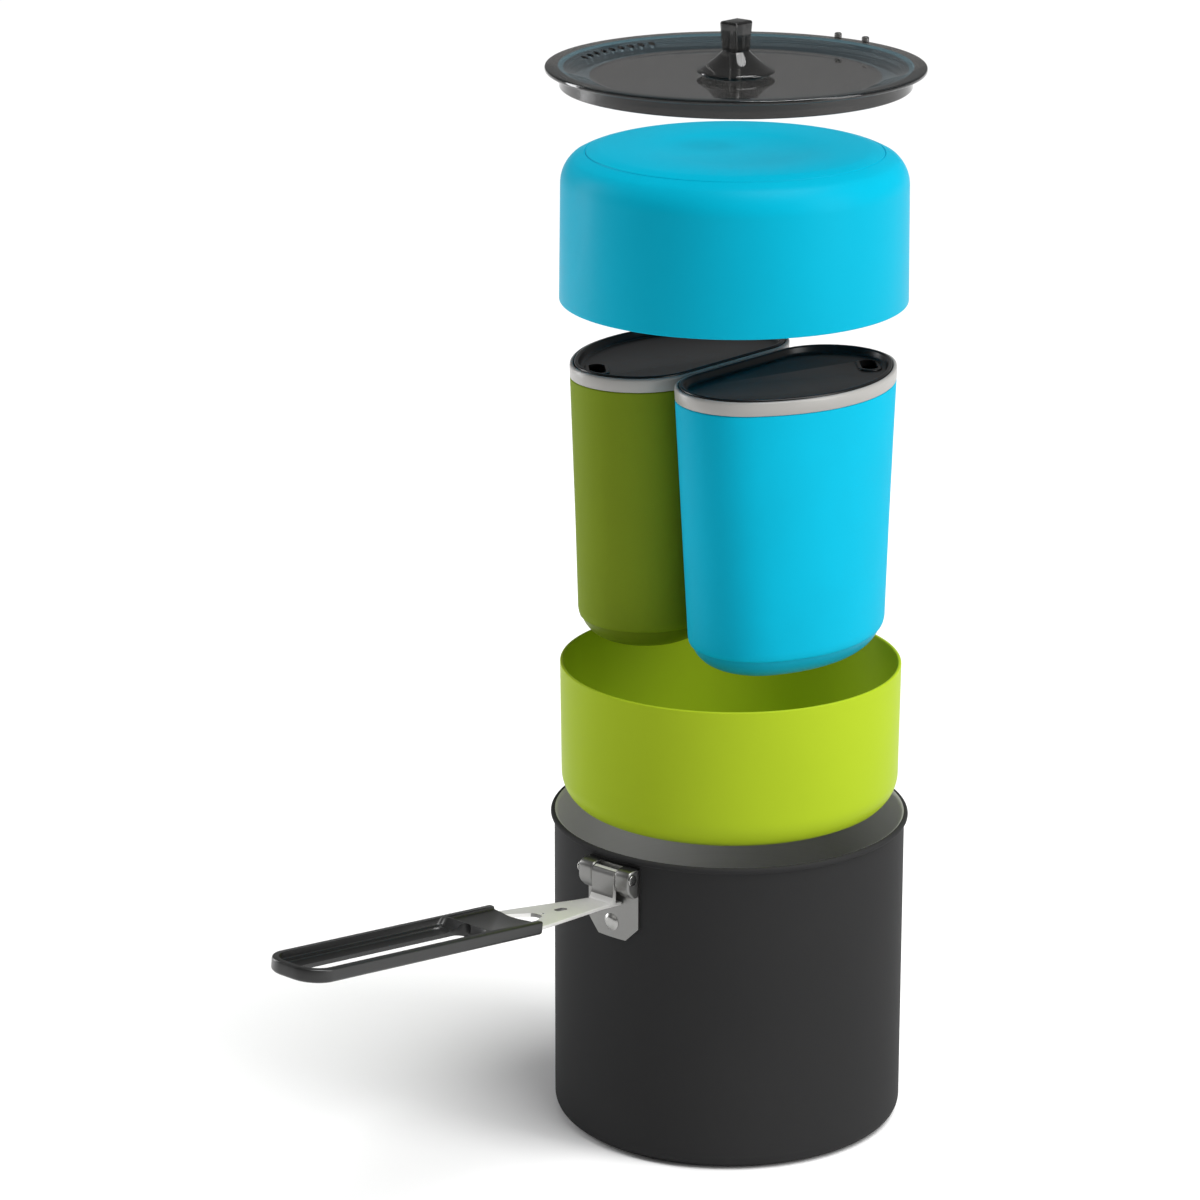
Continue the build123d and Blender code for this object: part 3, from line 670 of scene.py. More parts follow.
class COOKSET_OT_knob(bpy.types.Operator):
    """Build the lid's knob from a flared foot and a block-shaped finger grip, with its screw"""

    bl_idname = "cookset.knob"
    bl_label = "Knob"

    def execute(self, context):
        lid = context.scene.cook_lid
        low, high = KNOB_LOW.z, KNOB_HIGH.z
        wide, neck = KNOB_HIGH.x, 5.2 * MM
        foot_top = (wide - 0.4 * MM, FLANGE_Z - 2.0 * MM)
        neck_low, neck_high = (neck, FLANGE_Z + 5.6 * MM), (neck, FLANGE_Z + 6.4 * MM)
        flare = arc_points(foot_top, (9.6 * MM, FLANGE_Z + 1.6 * MM), neck_low, 14)
        points = [(0.0, low), (12.5 * MM, low), (wide, FLANGE_Z - 2.6 * MM), foot_top]
        points += flare + [neck_low, neck_high, (0.0, neck_high[1])]
        bm = bmesh.new()
        lathe(bm, points, ((1, 0.8 * MM, 3), (2, 0.25 * MM, 2)), steps=96)
        tint = see_through("smoke_knob_plastic", lid.knob, 0.8, 0.05)
        piece = make_object(bm, "lid_knob_turned", (tint,), sharp=38)
        # The finger grip is narrower at its foot than at its top
        grip_low = FLANGE_Z + 5.2 * MM
        long, short, foot_long, foot_short = 11.0 * MM, 8.6 * MM, 9.4 * MM, 7.4 * MM
        bm = bmesh.new()
        bmesh.ops.create_cube(bm, size=1.0)
        bmesh.ops.scale(bm, vec=(long, short, high - grip_low), verts=bm.verts[:])
        lower = [v for v in bm.verts if v.co.z < 0]
        bmesh.ops.scale(bm, vec=(foot_long / long, foot_short / short, 1.0), verts=lower)
        bmesh.ops.translate(bm, verts=bm.verts[:], vec=(0, 0, (high + grip_low) / 2))
        round_edges(bm, bm.edges[:], 1.1 * MM)
        combine(piece, make_object(bm, "block", (tint,)), "UNION")
        smooth_again(piece, 38)
        piece.visible_shadow = False
        settle(piece, "lid", "smoke_knob", "lid_knob")
        self.build_screw()
        return {"FINISHED"}

    def build_screw(self):
        """The pan-head screw that holds the knob from under the panel."""
        low, high = corners("knob_screw")
        socket, shank, head_z = 1.4 * MM, 2.0 * MM, low.z + 0.6 * MM
        bm = bmesh.new()
        lathe(
            bm,
            (
                (0.0, low.z + 0.35 * MM), (socket, low.z + 0.35 * MM), (socket, low.z), (high.x, low.z),
                (high.x, head_z), (shank, head_z), (shank, high.z - 0.6 * MM), (socket, high.z), (0.0, high.z),
            ),
            ((3, 0.4 * MM, 3),),
            steps=36,
        )
        dark = brushed("screw_steel_turned", (0.2, 0.2, 0.195), (0.28, 0.4))
        screw = make_object(bm, "knob_screw_turned", (dark,), sharp=38)
        settle(screw, "lid", "rivet_steel", "knob_screw")


# ------------------------------------------------------------------ mugs


def mug_loop(bm, mug, side, height, inset):
    """A D-shaped loop of edges on the mug's skin, or inset from it, at a height over the mug's base."""
    fall = (MUG_TALL - height) / MUG_TALL
    radius = mug.radius - mug.taper * fall - inset
    flat = mug.flat + mug.flat_taper * fall + inset
    corner = mug.corner - inset
    across = sqrt((radius - corner) ** 2 - (flat + corner) ** 2)
    lean = atan2(flat + corner, across)
    z = MUG_BASE_Z + height
    first = bm.verts.new((across, -flat, z))
    last = first
    turns = (
        ((across, -(flat + corner)), pi / 2 + lean, 16),
        ((0.0, 0.0), pi - 2 * lean, 40),
        ((-across, -(flat + corner)), pi / 2 + lean, 16),
    )
    for centre, angle, steps in turns:
        swept = bmesh.ops.spin(
            bm, geom=[last], cent=(*centre, z), axis=(0, 0, -1), dvec=(0, 0, 0), angle=angle, steps=steps
        )
        last = next(item for item in swept["geom_last"] if isinstance(item, bmesh.types.BMVert))
    # The edges in their order round the loop
    edges = [bm.edges.new((last, first))]
    walker = first
    while True:
        step = next((e for e in walker.link_edges if e not in edges), None)
        if step is None:
            break
        edges.append(step)
        walker = step.other_vert(walker)
    if side < 0:
        verts = {v for e in edges for v in e.verts}
        bmesh.ops.rotate(bm, verts=list(verts), cent=(0, 0, 0), matrix=Matrix.Rotation(pi, 3, "Z"))
    return edges


def loft_mug(mug, side, levels, closed=False):
    """Skins a row of D-shaped loops, each given as (height, inset), into a ring or a capped solid."""
    bm = bmesh.new()
    loops = []
    last = None
    for height, inset in levels:
        # Two loops at one height have no clear direction between them, so one stands a hair higher
        if last is not None and abs(height - last) < 0.02 * MM:
            height = last + 0.02 * MM
        loops.append(mug_loop(bm, mug, side, height, inset))
        last = height
    pairs = list(zip(loops, loops[1:])) + ([(loops[-1], loops[0])] if closed else [])
    for one, other in pairs:
        bmesh.ops.bridge_loops(bm, edges=one + other)
    for loop in () if closed else (loops[0], loops[-1]):
        bmesh.ops.contextual_create(bm, geom=loop)
    return bm


def round_foot(radius, inset, base, steps=10, until=pi / 2):
    """Levels round the bottom edge, from the flat bottom up to the side."""
    turns = [until * step / steps for step in range(steps + 1)]
    return [(base + radius * (1 - cos(a)), inset + radius * (1 - sin(a))) for a in turns]


class COOKSET_OT_mugs(bpy.types.Operator):
    """Build both insulated mugs: cup with its rim, foam sleeve, foot and sip lid"""

    bl_idname = "cookset.mugs"
    bl_label = "Mugs"

    def execute(self, context):
        mug = context.scene.cook_mug
        rim = moulded("mug_rim_plastic", mug.rim, 0.9, (0.28, 0.38), 1500.0, gloss=0.4)
        cover = moulded("mug_lid_plastic", mug.lid, 0.8, (0.24, 0.36), 1300.0, depth=0.05, gloss=0.28)
        for name, side, tone in (("blue", 1, mug.blue), ("green", -1, mug.green)):
            self.build_one(mug, name, side, tone, rim, cover)
        return {"FINISHED"}

    def build_one(self, mug, name, side, tone, rim, cover):
        """One mug; every piece is a row of (height, inset) levels."""
        rim_z = MUG_TALL - 0.6 * MM
        band_z = rim_z - mug.band
        ledge_z = rim_z - 5.0 * MM
        bore = mug.sleeve + 1.85 * MM
        cup_low = 2.5 * MM
        foam = knitted(f"{name}_sleeve_foam", tone)
        # The foot takes the sleeve's colour at 0.8: partly a deeper tone of the moulded plastic, partly painted
        # shade of the downward-facing foot
        base = moulded(f"{name}_foot_plastic", dim(tone, 0.8), 0.85, (0.38, 0.5), 1500.0, gloss=0.1)
        cup = self.cup_levels(mug, rim_z, band_z, ledge_z, bore, cup_low)
        for part, levels, material, slot, closed, sharp in (
            ("cup", cup, rim, "mug_rim_grey", False, 50),
            ("sleeve", self.sleeve_levels(mug, band_z), foam, f"sleeve_{name}", True, 60),
            ("foot", self.foot_levels(mug, cup_low), base, f"foot_{name}", False, 50),
        ):
            bm = loft_mug(mug, side, levels, closed)
            piece = make_object(bm, f"{name}_mug_{part}_formed", (material,), sharp)
            settle(piece, f"{name}_mug", slot, f"{name}_mug_{part}")
        seat_z, panel_z = ledge_z + 0.3 * MM, MUG_TALL - 3.2 * MM
        bm = loft_mug(mug, side, self.lid_levels(seat_z, panel_z, bore + 0.3 * MM))
        lid = make_object(bm, f"{name}_mug_lid_formed", (cover,), 50)
        self.add_sip(lid, side, MUG_BASE_Z + seat_z, MUG_BASE_Z + panel_z, cover)
        settle(lid, f"{name}_mug_cover", "mug_lid_black", f"{name}_mug_lid")

    def cup_levels(self, mug, rim_z, band_z, ledge_z, bore, low):
        """Up the outside, over the rounded rim and the ledge for the lid, and down the inside."""
        return round_foot(mug.foot_round - mug.sleeve, mug.sleeve, low) + [
            (band_z, mug.sleeve), (band_z, 0.25 * MM), (band_z + 0.25 * MM, 0.0), (rim_z - 1.2 * MM, 0.0),
            (rim_z - 0.6 * MM, 0.12 * MM), (rim_z - 0.2 * MM, 0.45 * MM), (rim_z, 0.95 * MM),
            (rim_z - 0.1 * MM, 1.4 * MM), (rim_z - 0.4 * MM, 1.6 * MM), (ledge_z, 1.6 * MM),
            (ledge_z, bore),
        ] + round_foot(mug.foot_round - bore, bore, low + 1.8 * MM)[::-1]

    def sleeve_levels(self, mug, band_z):
        """Out over the foot's edge, up the side, and in under the rim band."""
        start = acos(1 - mug.foot / mug.foot_round)
        curve = [start + (pi / 2 - start) * step / 5 for step in range(6)]
        outer = [(mug.foot_round * (1 - cos(a)), mug.foot_round * (1 - sin(a))) for a in curve]
        edge, inset = 0.5 * MM, outer[0][1]
        return [
            (mug.foot, mug.sleeve), (mug.foot, inset + edge), (mug.foot + 0.12 * MM, inset + 0.2 * MM),
            (mug.foot + edge, inset - 0.08 * MM),
        ] + outer[1:] + [
            (band_z - 0.8 * MM, 0.0), (band_z - 0.35 * MM, 0.1 * MM), (band_z - 0.1 * MM, 0.4 * MM),
            (band_z - 0.05 * MM, 0.9 * MM), (band_z - 0.05 * MM, mug.sleeve),
        ]

    def foot_levels(self, mug, cup_low):
        """Round the bottom edge, then in under the sleeve and the cup."""
        inset, top = 0.9 * MM, mug.foot - 0.05 * MM
        turn = acos(1 - (mug.foot - 0.1 * MM) / (mug.foot_round - inset))
        levels = round_foot(mug.foot_round - inset, inset, 0.0, steps=12, until=turn)
        return levels + [
            (top, levels[-1][1] + 0.15 * MM), (top, mug.sleeve),
            (cup_low + 6.0 * MM, mug.sleeve + 1.2 * MM), (cup_low - 0.05 * MM, 12.0 * MM),
        ]

    def lid_levels(self, seat_z, panel_z, plug):
        """Out under the plug's wall, up to the rounded lip and down to the sunk panel."""
        top, edge, wall = MUG_TALL, 1.9 * MM, plug + 1.5 * MM
        lip = edge + 1.7 * MM
        return [
            (seat_z, wall), (seat_z - 7.0 * MM, wall), (seat_z - 7.0 * MM, plug),
            (seat_z, plug), (seat_z, edge),
            (top - 0.5 * MM, edge), (top - 0.12 * MM, edge + 0.2 * MM), (top, edge + 0.6 * MM),
            (top, lip - 0.5 * MM), (top - 0.15 * MM, lip - 0.15 * MM), (top - 0.6 * MM, lip + 0.05 * MM),
            (panel_z + 0.9 * MM, lip + 0.5 * MM), (panel_z + 0.3 * MM, lip + 0.9 * MM),
            (panel_z, lip + 1.6 * MM),
        ]

    def add_sip(self, lid, side, low, panel, cover):
        """Adds the raised collar of the sip opening, then cuts the opening."""
        middle, half = 38.5 * MM * side, 4.2 * MM
        for width, base, top, operation in (
            (4.9 * MM, panel - 1.0 * MM, panel + 0.6 * MM, "UNION"),
            (3.3 * MM, low - 3.0 * MM, panel + 4.0 * MM, "DIFFERENCE"),
        ):
            bm = bmesh.new()
            bmesh.ops.create_circle(bm, cap_ends=True, segments=40, radius=width)
            for vert in bm.verts:
                vert.co.x += half if vert.co.x > 0 else -half
            raised = thicken(bm, (0, 0, top - base))
            if operation == "UNION":
                round_edges(bm, [e for e in bm.edges if all(v in raised for v in e.verts)], 0.5 * MM)
            bmesh.ops.rotate(bm, verts=bm.verts[:], cent=(0, 0, 0), matrix=Matrix.Rotation(radians(45), 3, "Z"))
            bmesh.ops.translate(bm, verts=bm.verts[:], vec=(middle, -middle, base))
            combine(lid, make_object(bm, "tool", (cover,)), operation)
        smooth_again(lid, 50)


# ------------------------------------------------------------------ handle


def handle_matrix(rise):
    """Takes the handle's own frame (outward, sideways, up) to the cook set's frame."""
    root_x, root_z = -75.0 * MM, 109.1 * MM
    return Matrix(
        (
            (-cos(rise), 0.0, sin(rise), root_x),
            (0.0, -1.0, 0.0, 0.0),
            (sin(rise), 0.0, cos(rise), root_z),
            (0.0, 0.0, 0.0, 1.0),
        )
    )


def prism(outline, rounds, low, high, name, materials, edge_round=(0.0, 0.0), matrix=None):
    """Extrudes a flat outline from one height to another, with its lower and upper edges rounded."""
    bm = bmesh.new()
    chain(bm, [(x, y, low) for x, y in outline], rounds, closed=True)
    bmesh.ops.contextual_create(bm, geom=bm.edges[:])
    thicken(bm, (0, 0, high - low))
    bmesh.ops.recalc_face_normals(bm, faces=bm.faces[:])
    middle = (low + high) / 2
    for radius, above in zip(edge_round, (False, True)):
        if radius:
            ring = [
                e for e in bm.edges
                if all((v.co.z > middle) == above for v in e.verts)
                and abs(e.verts[0].co.z - e.verts[1].co.z) < 1e-7
            ]
            round_edges(bm, ring, radius)
    if matrix is not None:
        bmesh.ops.transform(bm, matrix=matrix, verts=bm.verts[:])
    return make_object(bm, name, materials)


def cut_prism(piece, outline, rounds, low, high, materials, place, edge_round=(0.0, 0.0)):
    """Cuts a prism out of a piece; the cut faces take the given materials."""
    combine(piece, prism(outline, rounds, low, high, "tool", materials, edge_round, place), "DIFFERENCE")


def rectangle(x0, x1, half):
    """Corners of a rectangle about the X axis."""
    return ((x0, -half), (x1, -half), (x1, half), (x0, half))


def slot_outline(x0, x1, half, steps=10):
    """A slot with round ends along the X axis."""
    turns = [pi * step / steps for step in range(steps + 1)]
    outer = [(x1 - half + half * sin(a), -half * cos(a)) for a in turns]
    inner = [(x0 + half - half * sin(a), half * cos(a)) for a in turns]
    return outer + inner


class COOKSET_OT_handle(bpy.types.Operator):
    """Build the folding handle: the forked steel sheet and the moulded grip"""

    bl_idname = "cookset.handle"
    bl_label = "Handle"

    def execute(self, context):
        handle = context.scene.cook_handle
        place = handle_matrix(handle.rise)
        steel = brushed("yoke_steel_brushed", handle.steel, (0.34, 0.46), metallic=0.55)
        # A darker copy of the steel, painted shade for the slot's wall and the tab's outer face
        shade = brushed("tab_painted_shade_steel", dim(handle.steel, 0.3), (0.3, 0.42))
        black = moulded("grip_plastic", handle.grip, 0.75, (0.26, 0.38), 1500.0, depth=0.06, gloss=0.5)
        self.build_yoke(handle, place, steel, shade)
        self.build_grip(handle, place, black)
        return {"FINISHED"}

    def build_yoke(self, handle, place, steel, shade):
        """The sheet widens into a fork, with a slot and a crease before it."""
        low, high = 1.2 * MM, 1.2 * MM + handle.sheet
        root, flare, fork, end = -0.9 * MM, 8 * MM, 54.5 * MM, 79 * MM
        narrow, wide = 5.7 * MM, 12.6 * MM
        outline = (
            (root, -narrow), (flare, -narrow), (fork, -wide), (end, -wide),
            (end, wide), (fork, wide), (flare, narrow), (root, narrow),
        )
        rounds = ((1, 6 * MM, 8), (2, 8 * MM, 8), (5, 8 * MM, 8), (6, 6 * MM, 8))
        edges = (0.25 * MM, 0.35 * MM)
        piece = prism(outline, rounds, low, high, "handle_yoke_stamped", (steel,), edges, place)
        start, gap_end, tight, open_half = 42.5 * MM, 80 * MM, 2.2 * MM, 7.6 * MM
        gap = (
            (start, -tight), (fork, -open_half), (gap_end, -open_half),
            (gap_end, open_half), (fork, open_half), (start, tight),
        )
        rounds = ((0, 1.6 * MM, 5), (1, 3 * MM, 5), (4, 3 * MM, 5), (5, 1.6 * MM, 5))
        hole = slot_outline(26.25 * MM, 32.75 * MM, 1.5 * MM)
        crease = slot_outline(39.6 * MM, 41.0 * MM, 0.7 * MM)
        for cut, corners_cut, bottom in (
            (gap, rounds, low - MM), (hole, (), low - MM), (crease, (), high - 0.25 * MM),
        ):
            cut_prism(piece, cut, corners_cut, bottom, high + MM, (), place)
        combine(piece, self.build_tab(steel), "UNION")
        # Painted shade: the slot's wall and the tab's outer face take a darker copy of the steel that stands
        # for the shade on them
        piece.data.materials.append(shade)
        tab_z = 114.6 * MM
        back = place.inverted()
        for face in piece.data.polygons:
            local = back @ face.center
            in_hole = 26 * MM < local.x < 33 * MM and abs(local.y) < 1.7 * MM and low < local.z < high
            if in_hole or (face.center.z > tab_z and face.normal.x < -0.5):
                face.material_index = len(piece.data.materials) - 1
        smooth_again(piece, 38)
        settle(piece, "handle", "yoke_steel", "handle_yoke")

    def build_tab(self, steel):
        """The upright tab that ends in the knuckle on the hinge pin."""
        barrel, bore, half, heel = 2.5 * MM, 1.55 * MM, 5.7 * MM, 110.3 * MM
        out = PIN_X - barrel
        outline = (
            (out, PIN_Z), (out, heel + 4.2 * MM), (out - 2.6 * MM, heel + 1.3 * MM),
            (out + 1.5 * MM, heel + 0.5 * MM), (out + 1.5 * MM, PIN_Z),
        )
        bm = bmesh.new()
        rounds = ((1, 2.4 * MM, 6), (2, 0.3 * MM, 2))
        chain(bm, [(x, 0.0, z) for x, z in outline], rounds, closed=True, clamp=True)
        bmesh.ops.contextual_create(bm, geom=bm.edges[:])
        thicken(bm, (0, 2 * half, 0))
        bmesh.ops.translate(bm, verts=bm.verts[:], vec=(0, -half, 0))
        tab = make_object(bm, "tab", (steel,))
        for radius, reach, operation in ((barrel, half, "UNION"), (bore, half + MM, "DIFFERENCE")):
            combine(tab, pin_cylinder(radius, -reach, reach, "barrel", (steel,)), operation)
        return tab

    def build_grip(self, handle, place, black):
        """A rounded bar with a sunk top, a long slot and pockets for the fork's arms."""
        start, end, pad_end = 55.5 * MM, 183.0 * MM, 82.5 * MM
        half, depth, inner = handle.half, handle.depth, handle.half - handle.rail
        nose, bite = 11.0 * MM, 16 * MM
        mouth = [
            (start + 3 * MM - bite + bite * cos(a), bite * sin(a))
            for a in (radians(63.7 - 12.74 * step) for step in range(11))
        ]
        outline = [(start, -half), (end, -half), (end, half), (start, half)] + [
            (x, y) for x, y in mouth if abs(y) < half and x > start
        ]
        rounds = ((0, 1.2 * MM, 4), (1, nose, 14), (2, nose, 14), (3, 1.2 * MM, 4))
        edges = (1.3 * MM, 0.75 * MM)
        piece = prism(outline, rounds, 0.0, depth, "handle_grip_moulded", (black,), edges, place)
        over = depth + 2 * MM
        for drop, inset in ((2.6 * MM, 0.0), (1.7 * MM, 1.7 * MM)):
            x0, x1 = pad_end + inset, end - handle.rail - inset
            tip = nose - handle.rail - inset
            rounds = ((0, 3 * MM, 5), (1, tip, 10), (2, tip, 10), (3, 3 * MM, 5))
            sunk = rectangle(x0, x1, inner - inset)
            tool = prism(sunk, rounds, drop, over, "tool", (black,), (0.4 * MM, 0.0))
            # The end of the hollow by the pad is a ramp
            for vert in tool.data.vertices:
                if vert.co.x < x0 + 3.2 * MM:
                    vert.co.x += max(0.0, 4.6 * MM - vert.co.z) * 2.4
            tool.data.transform(place)
            combine(piece, tool, "DIFFERENCE")
        pad = rectangle(start - 4 * MM, pad_end + MM, inner)
        cut_prism(piece, pad, (), depth - 1.3 * MM, over, (black,), place, (0.5 * MM, 0.0))
        slot = slot_outline(84 * MM, 176 * MM, 4 * MM, 14)
        cut_prism(piece, slot, (), -2 * MM, 8 * MM, (black,), place)
        arm_start, arm_end = start - 5 * MM, 79.05 * MM
        for side in (-1, 1):
            near, far = side * 7.55 * MM, side * 12.65 * MM
            arm = ((arm_start, near), (arm_end, near), (arm_end, far), (arm_start, far))
            cut_prism(piece, arm, (), 1.15 * MM, 2.75 * MM, (black,), place)
        smooth_again(piece, 30)
        settle(piece, "handle", "grip_black", "handle_grip")


def pin_cylinder(radius, y0, y1, name, materials, edge=0.0):
    """A cylinder round the hinge axis."""
    bm = bmesh.new()
    turn = Matrix.Translation((PIN_X, (y0 + y1) / 2, PIN_Z)) @ Matrix.Rotation(pi / 2, 4, "X")
    bmesh.ops.create_cone(
        bm, cap_ends=True, segments=40, radius1=radius, radius2=radius, depth=y1 - y0, matrix=turn
    )
    if edge:
        round_edges(bm, [e for e in bm.edges if abs(e.verts[0].co.y - e.verts[1].co.y) < 1e-7], edge)
    return make_object(bm, name, materials)


class COOKSET_OT_bracket(bpy.types.Operator):
    """Build the stamped bracket on the pot wall, its rivets and the hinge pin"""

    bl_idname = "cookset.bracket"
    bl_label = "Bracket"

    def execute(self, context):
        handle = context.scene.cook_handle
        steel = brushed("bracket_steel_brushed", dim(handle.steel, 0.3), (0.3, 0.42))
        bright = brushed("rivet_steel_turned", dim(handle.steel, 0.5), (0.18, 0.3))
        self.build_bracket(steel)
        self.build_pin(bright)
        self.build_rivets(bright)
        return {"FINISHED"}

    def build_bracket(self, steel):
        """A plate curved round the pot, with two lower corners cut off and two ears folded out."""
        wall, plate = 72.05 * MM, 1.4 * MM
        low, high, half = BRACKET_LOW.z, BRACKET_HIGH.z, BRACKET_HIGH.y
        spread = 2 * atan2(half, wall)
        bm = bmesh.new()
        verts = [bm.verts.new((-wall * cos(spread / 2), -wall * sin(spread / 2), z)) for z in (low, high)]
        edge = bm.edges.new(verts)
        bmesh.ops.spin(
            bm, geom=[edge, *verts], cent=(0, 0, 0), axis=(0, 0, 1), dvec=(0, 0, 0), angle=-spread, steps=28
        )
        bmesh.ops.recalc_face_normals(bm, faces=bm.faces[:])
        sheet = make_object(bm, "handle_bracket_stamped", (steel,), outward=False)
        if sheet.data.polygons[0].normal.x > 0:
            sheet.data.flip_normals()
        solid = sheet.modifiers.new("thickness", "SOLIDIFY")
        solid.thickness = plate
        solid.offset = 1.0
        solid.use_even_offset = True
        bake_modifiers(sheet)
        for side in (-1, 1):
            below, beside = low - 2 * MM, side * (half + 2 * MM)
            corner = ((beside, below), (side * (half - 8 * MM), below), (beside, low + 8 * MM))
            bm = bmesh.new()
            bm.faces.new([bm.verts.new((-90 * MM, y, z)) for y, z in corner])
            thicken(bm, (40 * MM, 0, 0))
            combine(sheet, make_object(bm, "tool", (steel,)), "DIFFERENCE")
            combine(sheet, self.ear(side, steel), "UNION")
        reach = 16 * MM
        combine(sheet, pin_cylinder(1.55 * MM, -reach, reach, "tool", (steel,)), "DIFFERENCE")
        smooth_again(sheet, 38)
        settle(sheet, "pot", "steel", "handle_bracket")

    def ear(self, side, steel):
        """One raised ear that holds the pin, folded out of the plate."""
        y0, y1 = sorted((side * 6 * MM, side * BRACKET_HIGH.y))
        outline = ((-72.6, 115), (-75.2, 115), (-78.6, 118.4), (-78.6, 126.6), (-72.6, 126.6))
        bm = bmesh.new()
        rounds = ((3, 2.8 * MM, 6), (2, 2.0 * MM, 6))
        chain(bm, [(x * MM, y0, z * MM) for x, z in outline], rounds, closed=True)
        bmesh.ops.contextual_create(bm, geom=bm.edges[:])
        thicken(bm, (0, y1 - y0, 0))
        bmesh.ops.recalc_face_normals(bm, faces=bm.faces[:])
        clear_of_plate = -73.2 * MM
        ring = [
            e for e in bm.edges
            if abs(e.verts[0].co.y - e.verts[1].co.y) < 1e-7 and max(v.co.x for v in e.verts) < clear_of_plate
        ]
        round_edges(bm, ring, 0.8 * MM)
        return make_object(bm, "ear", (steel,))

    def build_pin(self, bright):
        """The pin with a head on each side."""
        reach = PIN_HIGH.y
        shaft = reach - 0.4 * MM
        pin = pin_cylinder(1.5 * MM, -shaft, shaft, "hinge_pin_turned", (bright,))
        for side in (-1, 1):
            y0, y1 = sorted((side * (BRACKET_HIGH.y + 0.05 * MM), side * reach))
            combine(pin, pin_cylinder(2.2 * MM, y0, y1, "head", (bright,), edge=0.25 * MM), "UNION")
        smooth_again(pin, 38)
        settle(pin, "pot", "rivet_steel", "hinge_pin")

    def build_rivets(self, bright):
        """Two rivets through the plate and the pot's wall."""
        shank, head, top = 2.0 * MM, 3.6 * MM, 2.2 * MM
        tail, inside, outside = -2.45 * MM, -1.5 * MM, 1.3 * MM
        profile = (
            (0.0, tail), (shank, tail), (head, inside), (shank, inside),
            (shank, outside), (head, outside), (head, top), (0.0, top),
        )
        bm = bmesh.new()
        for height in (101.5, 116.5):
            ring = bmesh.new()
            lathe(ring, profile, ((1, 1.0 * MM, 5), (6, 0.5 * MM, 3)), steps=36)
            place = Matrix.Translation((-72.0 * MM, 0.0, height * MM)) @ Matrix.Rotation(pi / 2, 4, "Y")
            bmesh.ops.transform(ring, matrix=place, verts=ring.verts[:])
            mesh = bpy.data.meshes.new("ring")
            ring.to_mesh(mesh)
            ring.free()
            bm.from_mesh(mesh)
            bpy.data.meshes.remove(mesh)
        piece = make_object(bm, "bracket_rivets_turned", (bright,), sharp=38)
        settle(piece, "pot", "rivet_steel", "bracket_rivets")


# ------------------------------------------------------------------ stage


def hang(name, light, place, aim):
    """Puts a light at a place, pointing along a direction."""
    lamp = bpy.data.objects.new(name, light)
    lamp.location = place
    lamp.rotation_euler = aim.to_track_quat("-Z", "Y").to_euler()
    bpy.context.scene.collection.objects.link(lamp)


def area_light(name, place, target, size, power, tint):
    """A soft rectangular light at a place, aimed at a target."""
    light = bpy.data.lights.new(name, "AREA")
    light.shape = "RECTANGLE"
    light.size, light.size_y = size
    light.energy = power
    light.color = tint
    hang(name, light, place, Vector(target) - Vector(place))


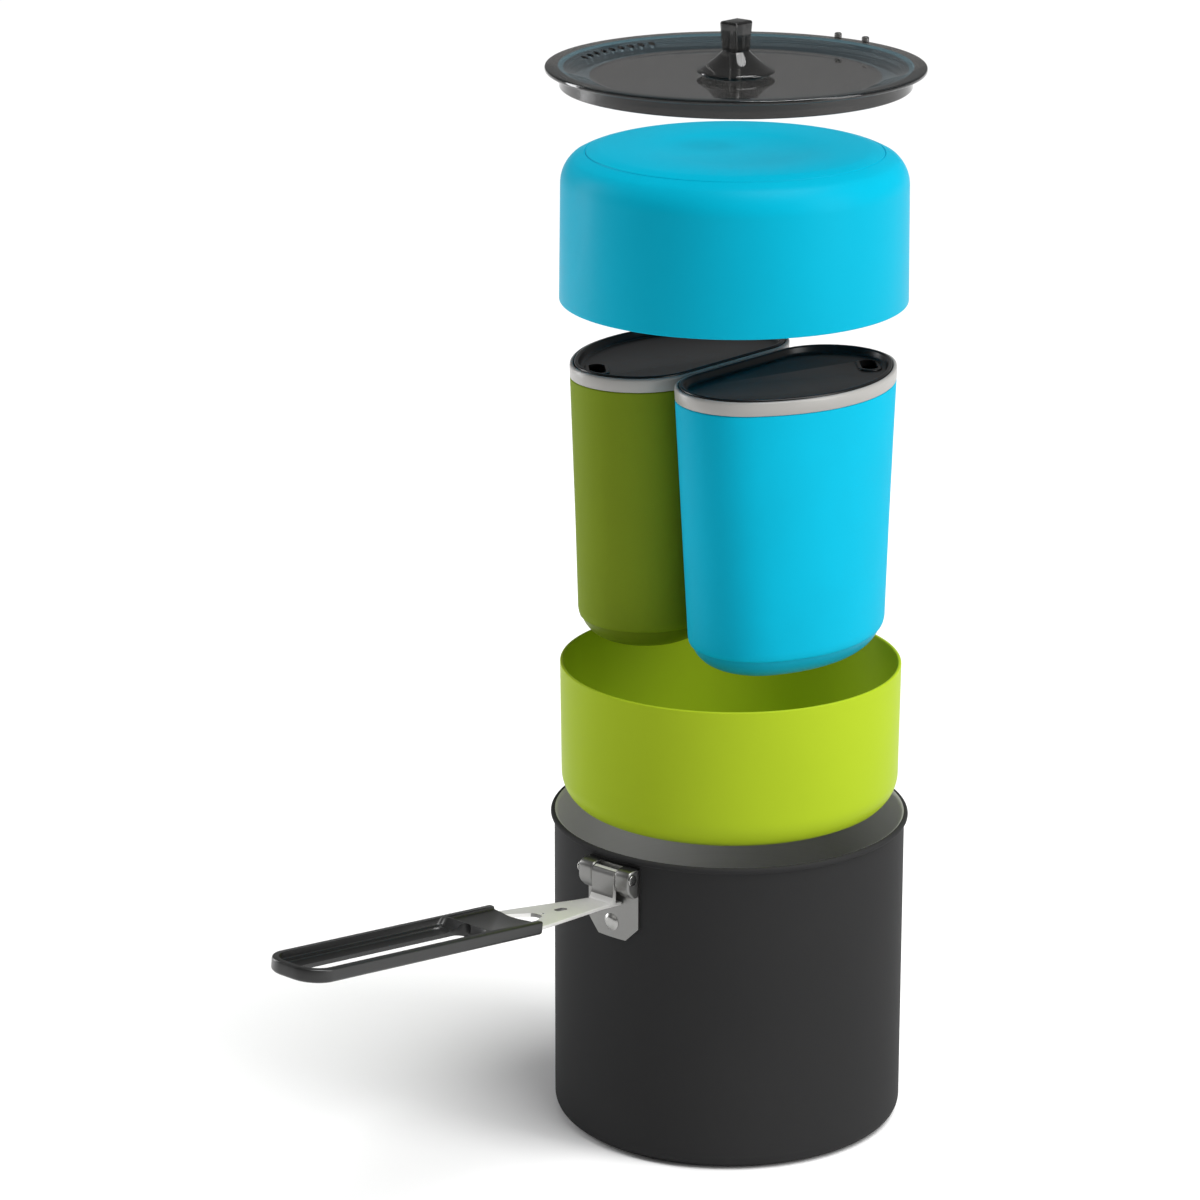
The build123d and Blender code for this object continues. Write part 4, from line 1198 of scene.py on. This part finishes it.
class COOKSET_OT_stage(bpy.types.Operator):
    """Lay the pale floor, hang the soft lights and place the camera"""

    bl_idname = "cookset.stage"
    bl_label = "Stage"

    def execute(self, context):
        stage = context.scene.cook_stage
        bm = bmesh.new()
        bmesh.ops.create_grid(bm, x_segments=2, y_segments=2, size=60.0)
        paper = moulded("paper_floor", stage.floor, 0.995, (0.85, 0.95), 300.0, depth=0.0, cloud=2.0)
        floor = make_object(bm, "floor", (paper,), outward=False)

        world = bpy.data.worlds.new("studio")
        context.scene.world = world
        world.use_nodes = True
        tree = world.node_tree
        sky = tree.nodes["Background"]
        sky.inputs["Color"].default_value = (1.0, 1.0, 1.0, 1.0)
        # The sky gives little light, and is plain white behind the far edge of the floor
        path = add_node(tree, "LightPath")
        seen = add_node(tree, "Math", {1: 1.0 - stage.sky, 2: stage.sky}, operation="MULTIPLY_ADD")
        wire(tree, (path, "Is Camera Ray", seen, 0), (seen, "Value", sky, "Strength"))

        centre = (0.0, 0.0, 0.24)
        right = Vector((0.6626, -0.749, 0.0))
        away = Vector((0.749, 0.6626, 0.0))

        def spot(to_right, to_back, height):
            return right * to_right + away * to_back + Vector((0, 0, height))

        area_light("key_softbox", spot(1.45, -0.68, 0.85), centre, (0.7, 1.4), stage.key, (1.0, 0.995, 0.985))
        area_light("side_strip", spot(-1.31, 0.61, 0.45), centre, (0.3, 1.3), stage.side, (0.985, 0.99, 1.0))
        sun = bpy.data.lights.new("overhead", "SUN")
        sun.energy = stage.overhead
        sun.angle = radians(38)
        hang("overhead", sun, spot(0.7, -0.33, 2.0), -spot(0.34, -0.16, 0.93))

        camera = bpy.data.cameras.new("camera")
        camera.lens = LENS
        camera.sensor_width = SENSOR
        eye = bpy.data.objects.new("camera", camera)
        eye.location = EYE
        eye.rotation_euler = (radians(EYE_TILT), 0.0, radians(EYE_TURN))
        context.scene.collection.objects.link(eye)
        context.scene.camera = eye
        context.scene.view_settings.view_transform = "Standard"
        return {"FINISHED"}


# ------------------------------------------------------------------ panel

OPERATORS = (
    COOKSET_OT_surfaces, COOKSET_OT_pot, COOKSET_OT_bracket, COOKSET_OT_handle, COOKSET_OT_bowls,
    COOKSET_OT_mugs, COOKSET_OT_lid, COOKSET_OT_knob, COOKSET_OT_stage,
)
SCENE_SETTINGS = {
    "cook_pot": PotSettings, "cook_bowl": BowlSettings, "cook_mug": MugSettings,
    "cook_handle": HandleSettings, "cook_lid": LidSettings, "cook_stage": StageSettings,
}


class COOKSET_PT_panel(bpy.types.Panel):
    """Lists the cook set's pieces and their sizes"""

    bl_idname = "COOKSET_PT_panel"
    bl_label = "Cook Set"
    bl_space_type = "VIEW_3D"
    bl_region_type = "UI"
    bl_category = "Cook Set"

    def draw(self, context):
        for operator in OPERATORS:
            self.layout.operator(operator.bl_idname)
        for name in SCENE_SETTINGS:
            box = self.layout.box()
            group = getattr(context.scene, name)
            for entry in group.bl_rna.properties:
                if not entry.is_readonly and entry.identifier != "name":
                    box.prop(group, entry.identifier)


CLASSES = (*SCENE_SETTINGS.values(), *OPERATORS, COOKSET_PT_panel)


def register():
    for cls in CLASSES:
        bpy.utils.register_class(cls)
    for name, cls in SCENE_SETTINGS.items():
        setattr(bpy.types.Scene, name, PointerProperty(type=cls))


def unregister():
    for name in SCENE_SETTINGS:
        delattr(bpy.types.Scene, name)
    for cls in reversed(CLASSES):
        bpy.utils.unregister_class(cls)


def main():
    register()
    for operator in OPERATORS:
        group, name = operator.bl_idname.split(".")
        getattr(getattr(bpy.ops, group), name)()


if __name__ == "__main__":
    main()
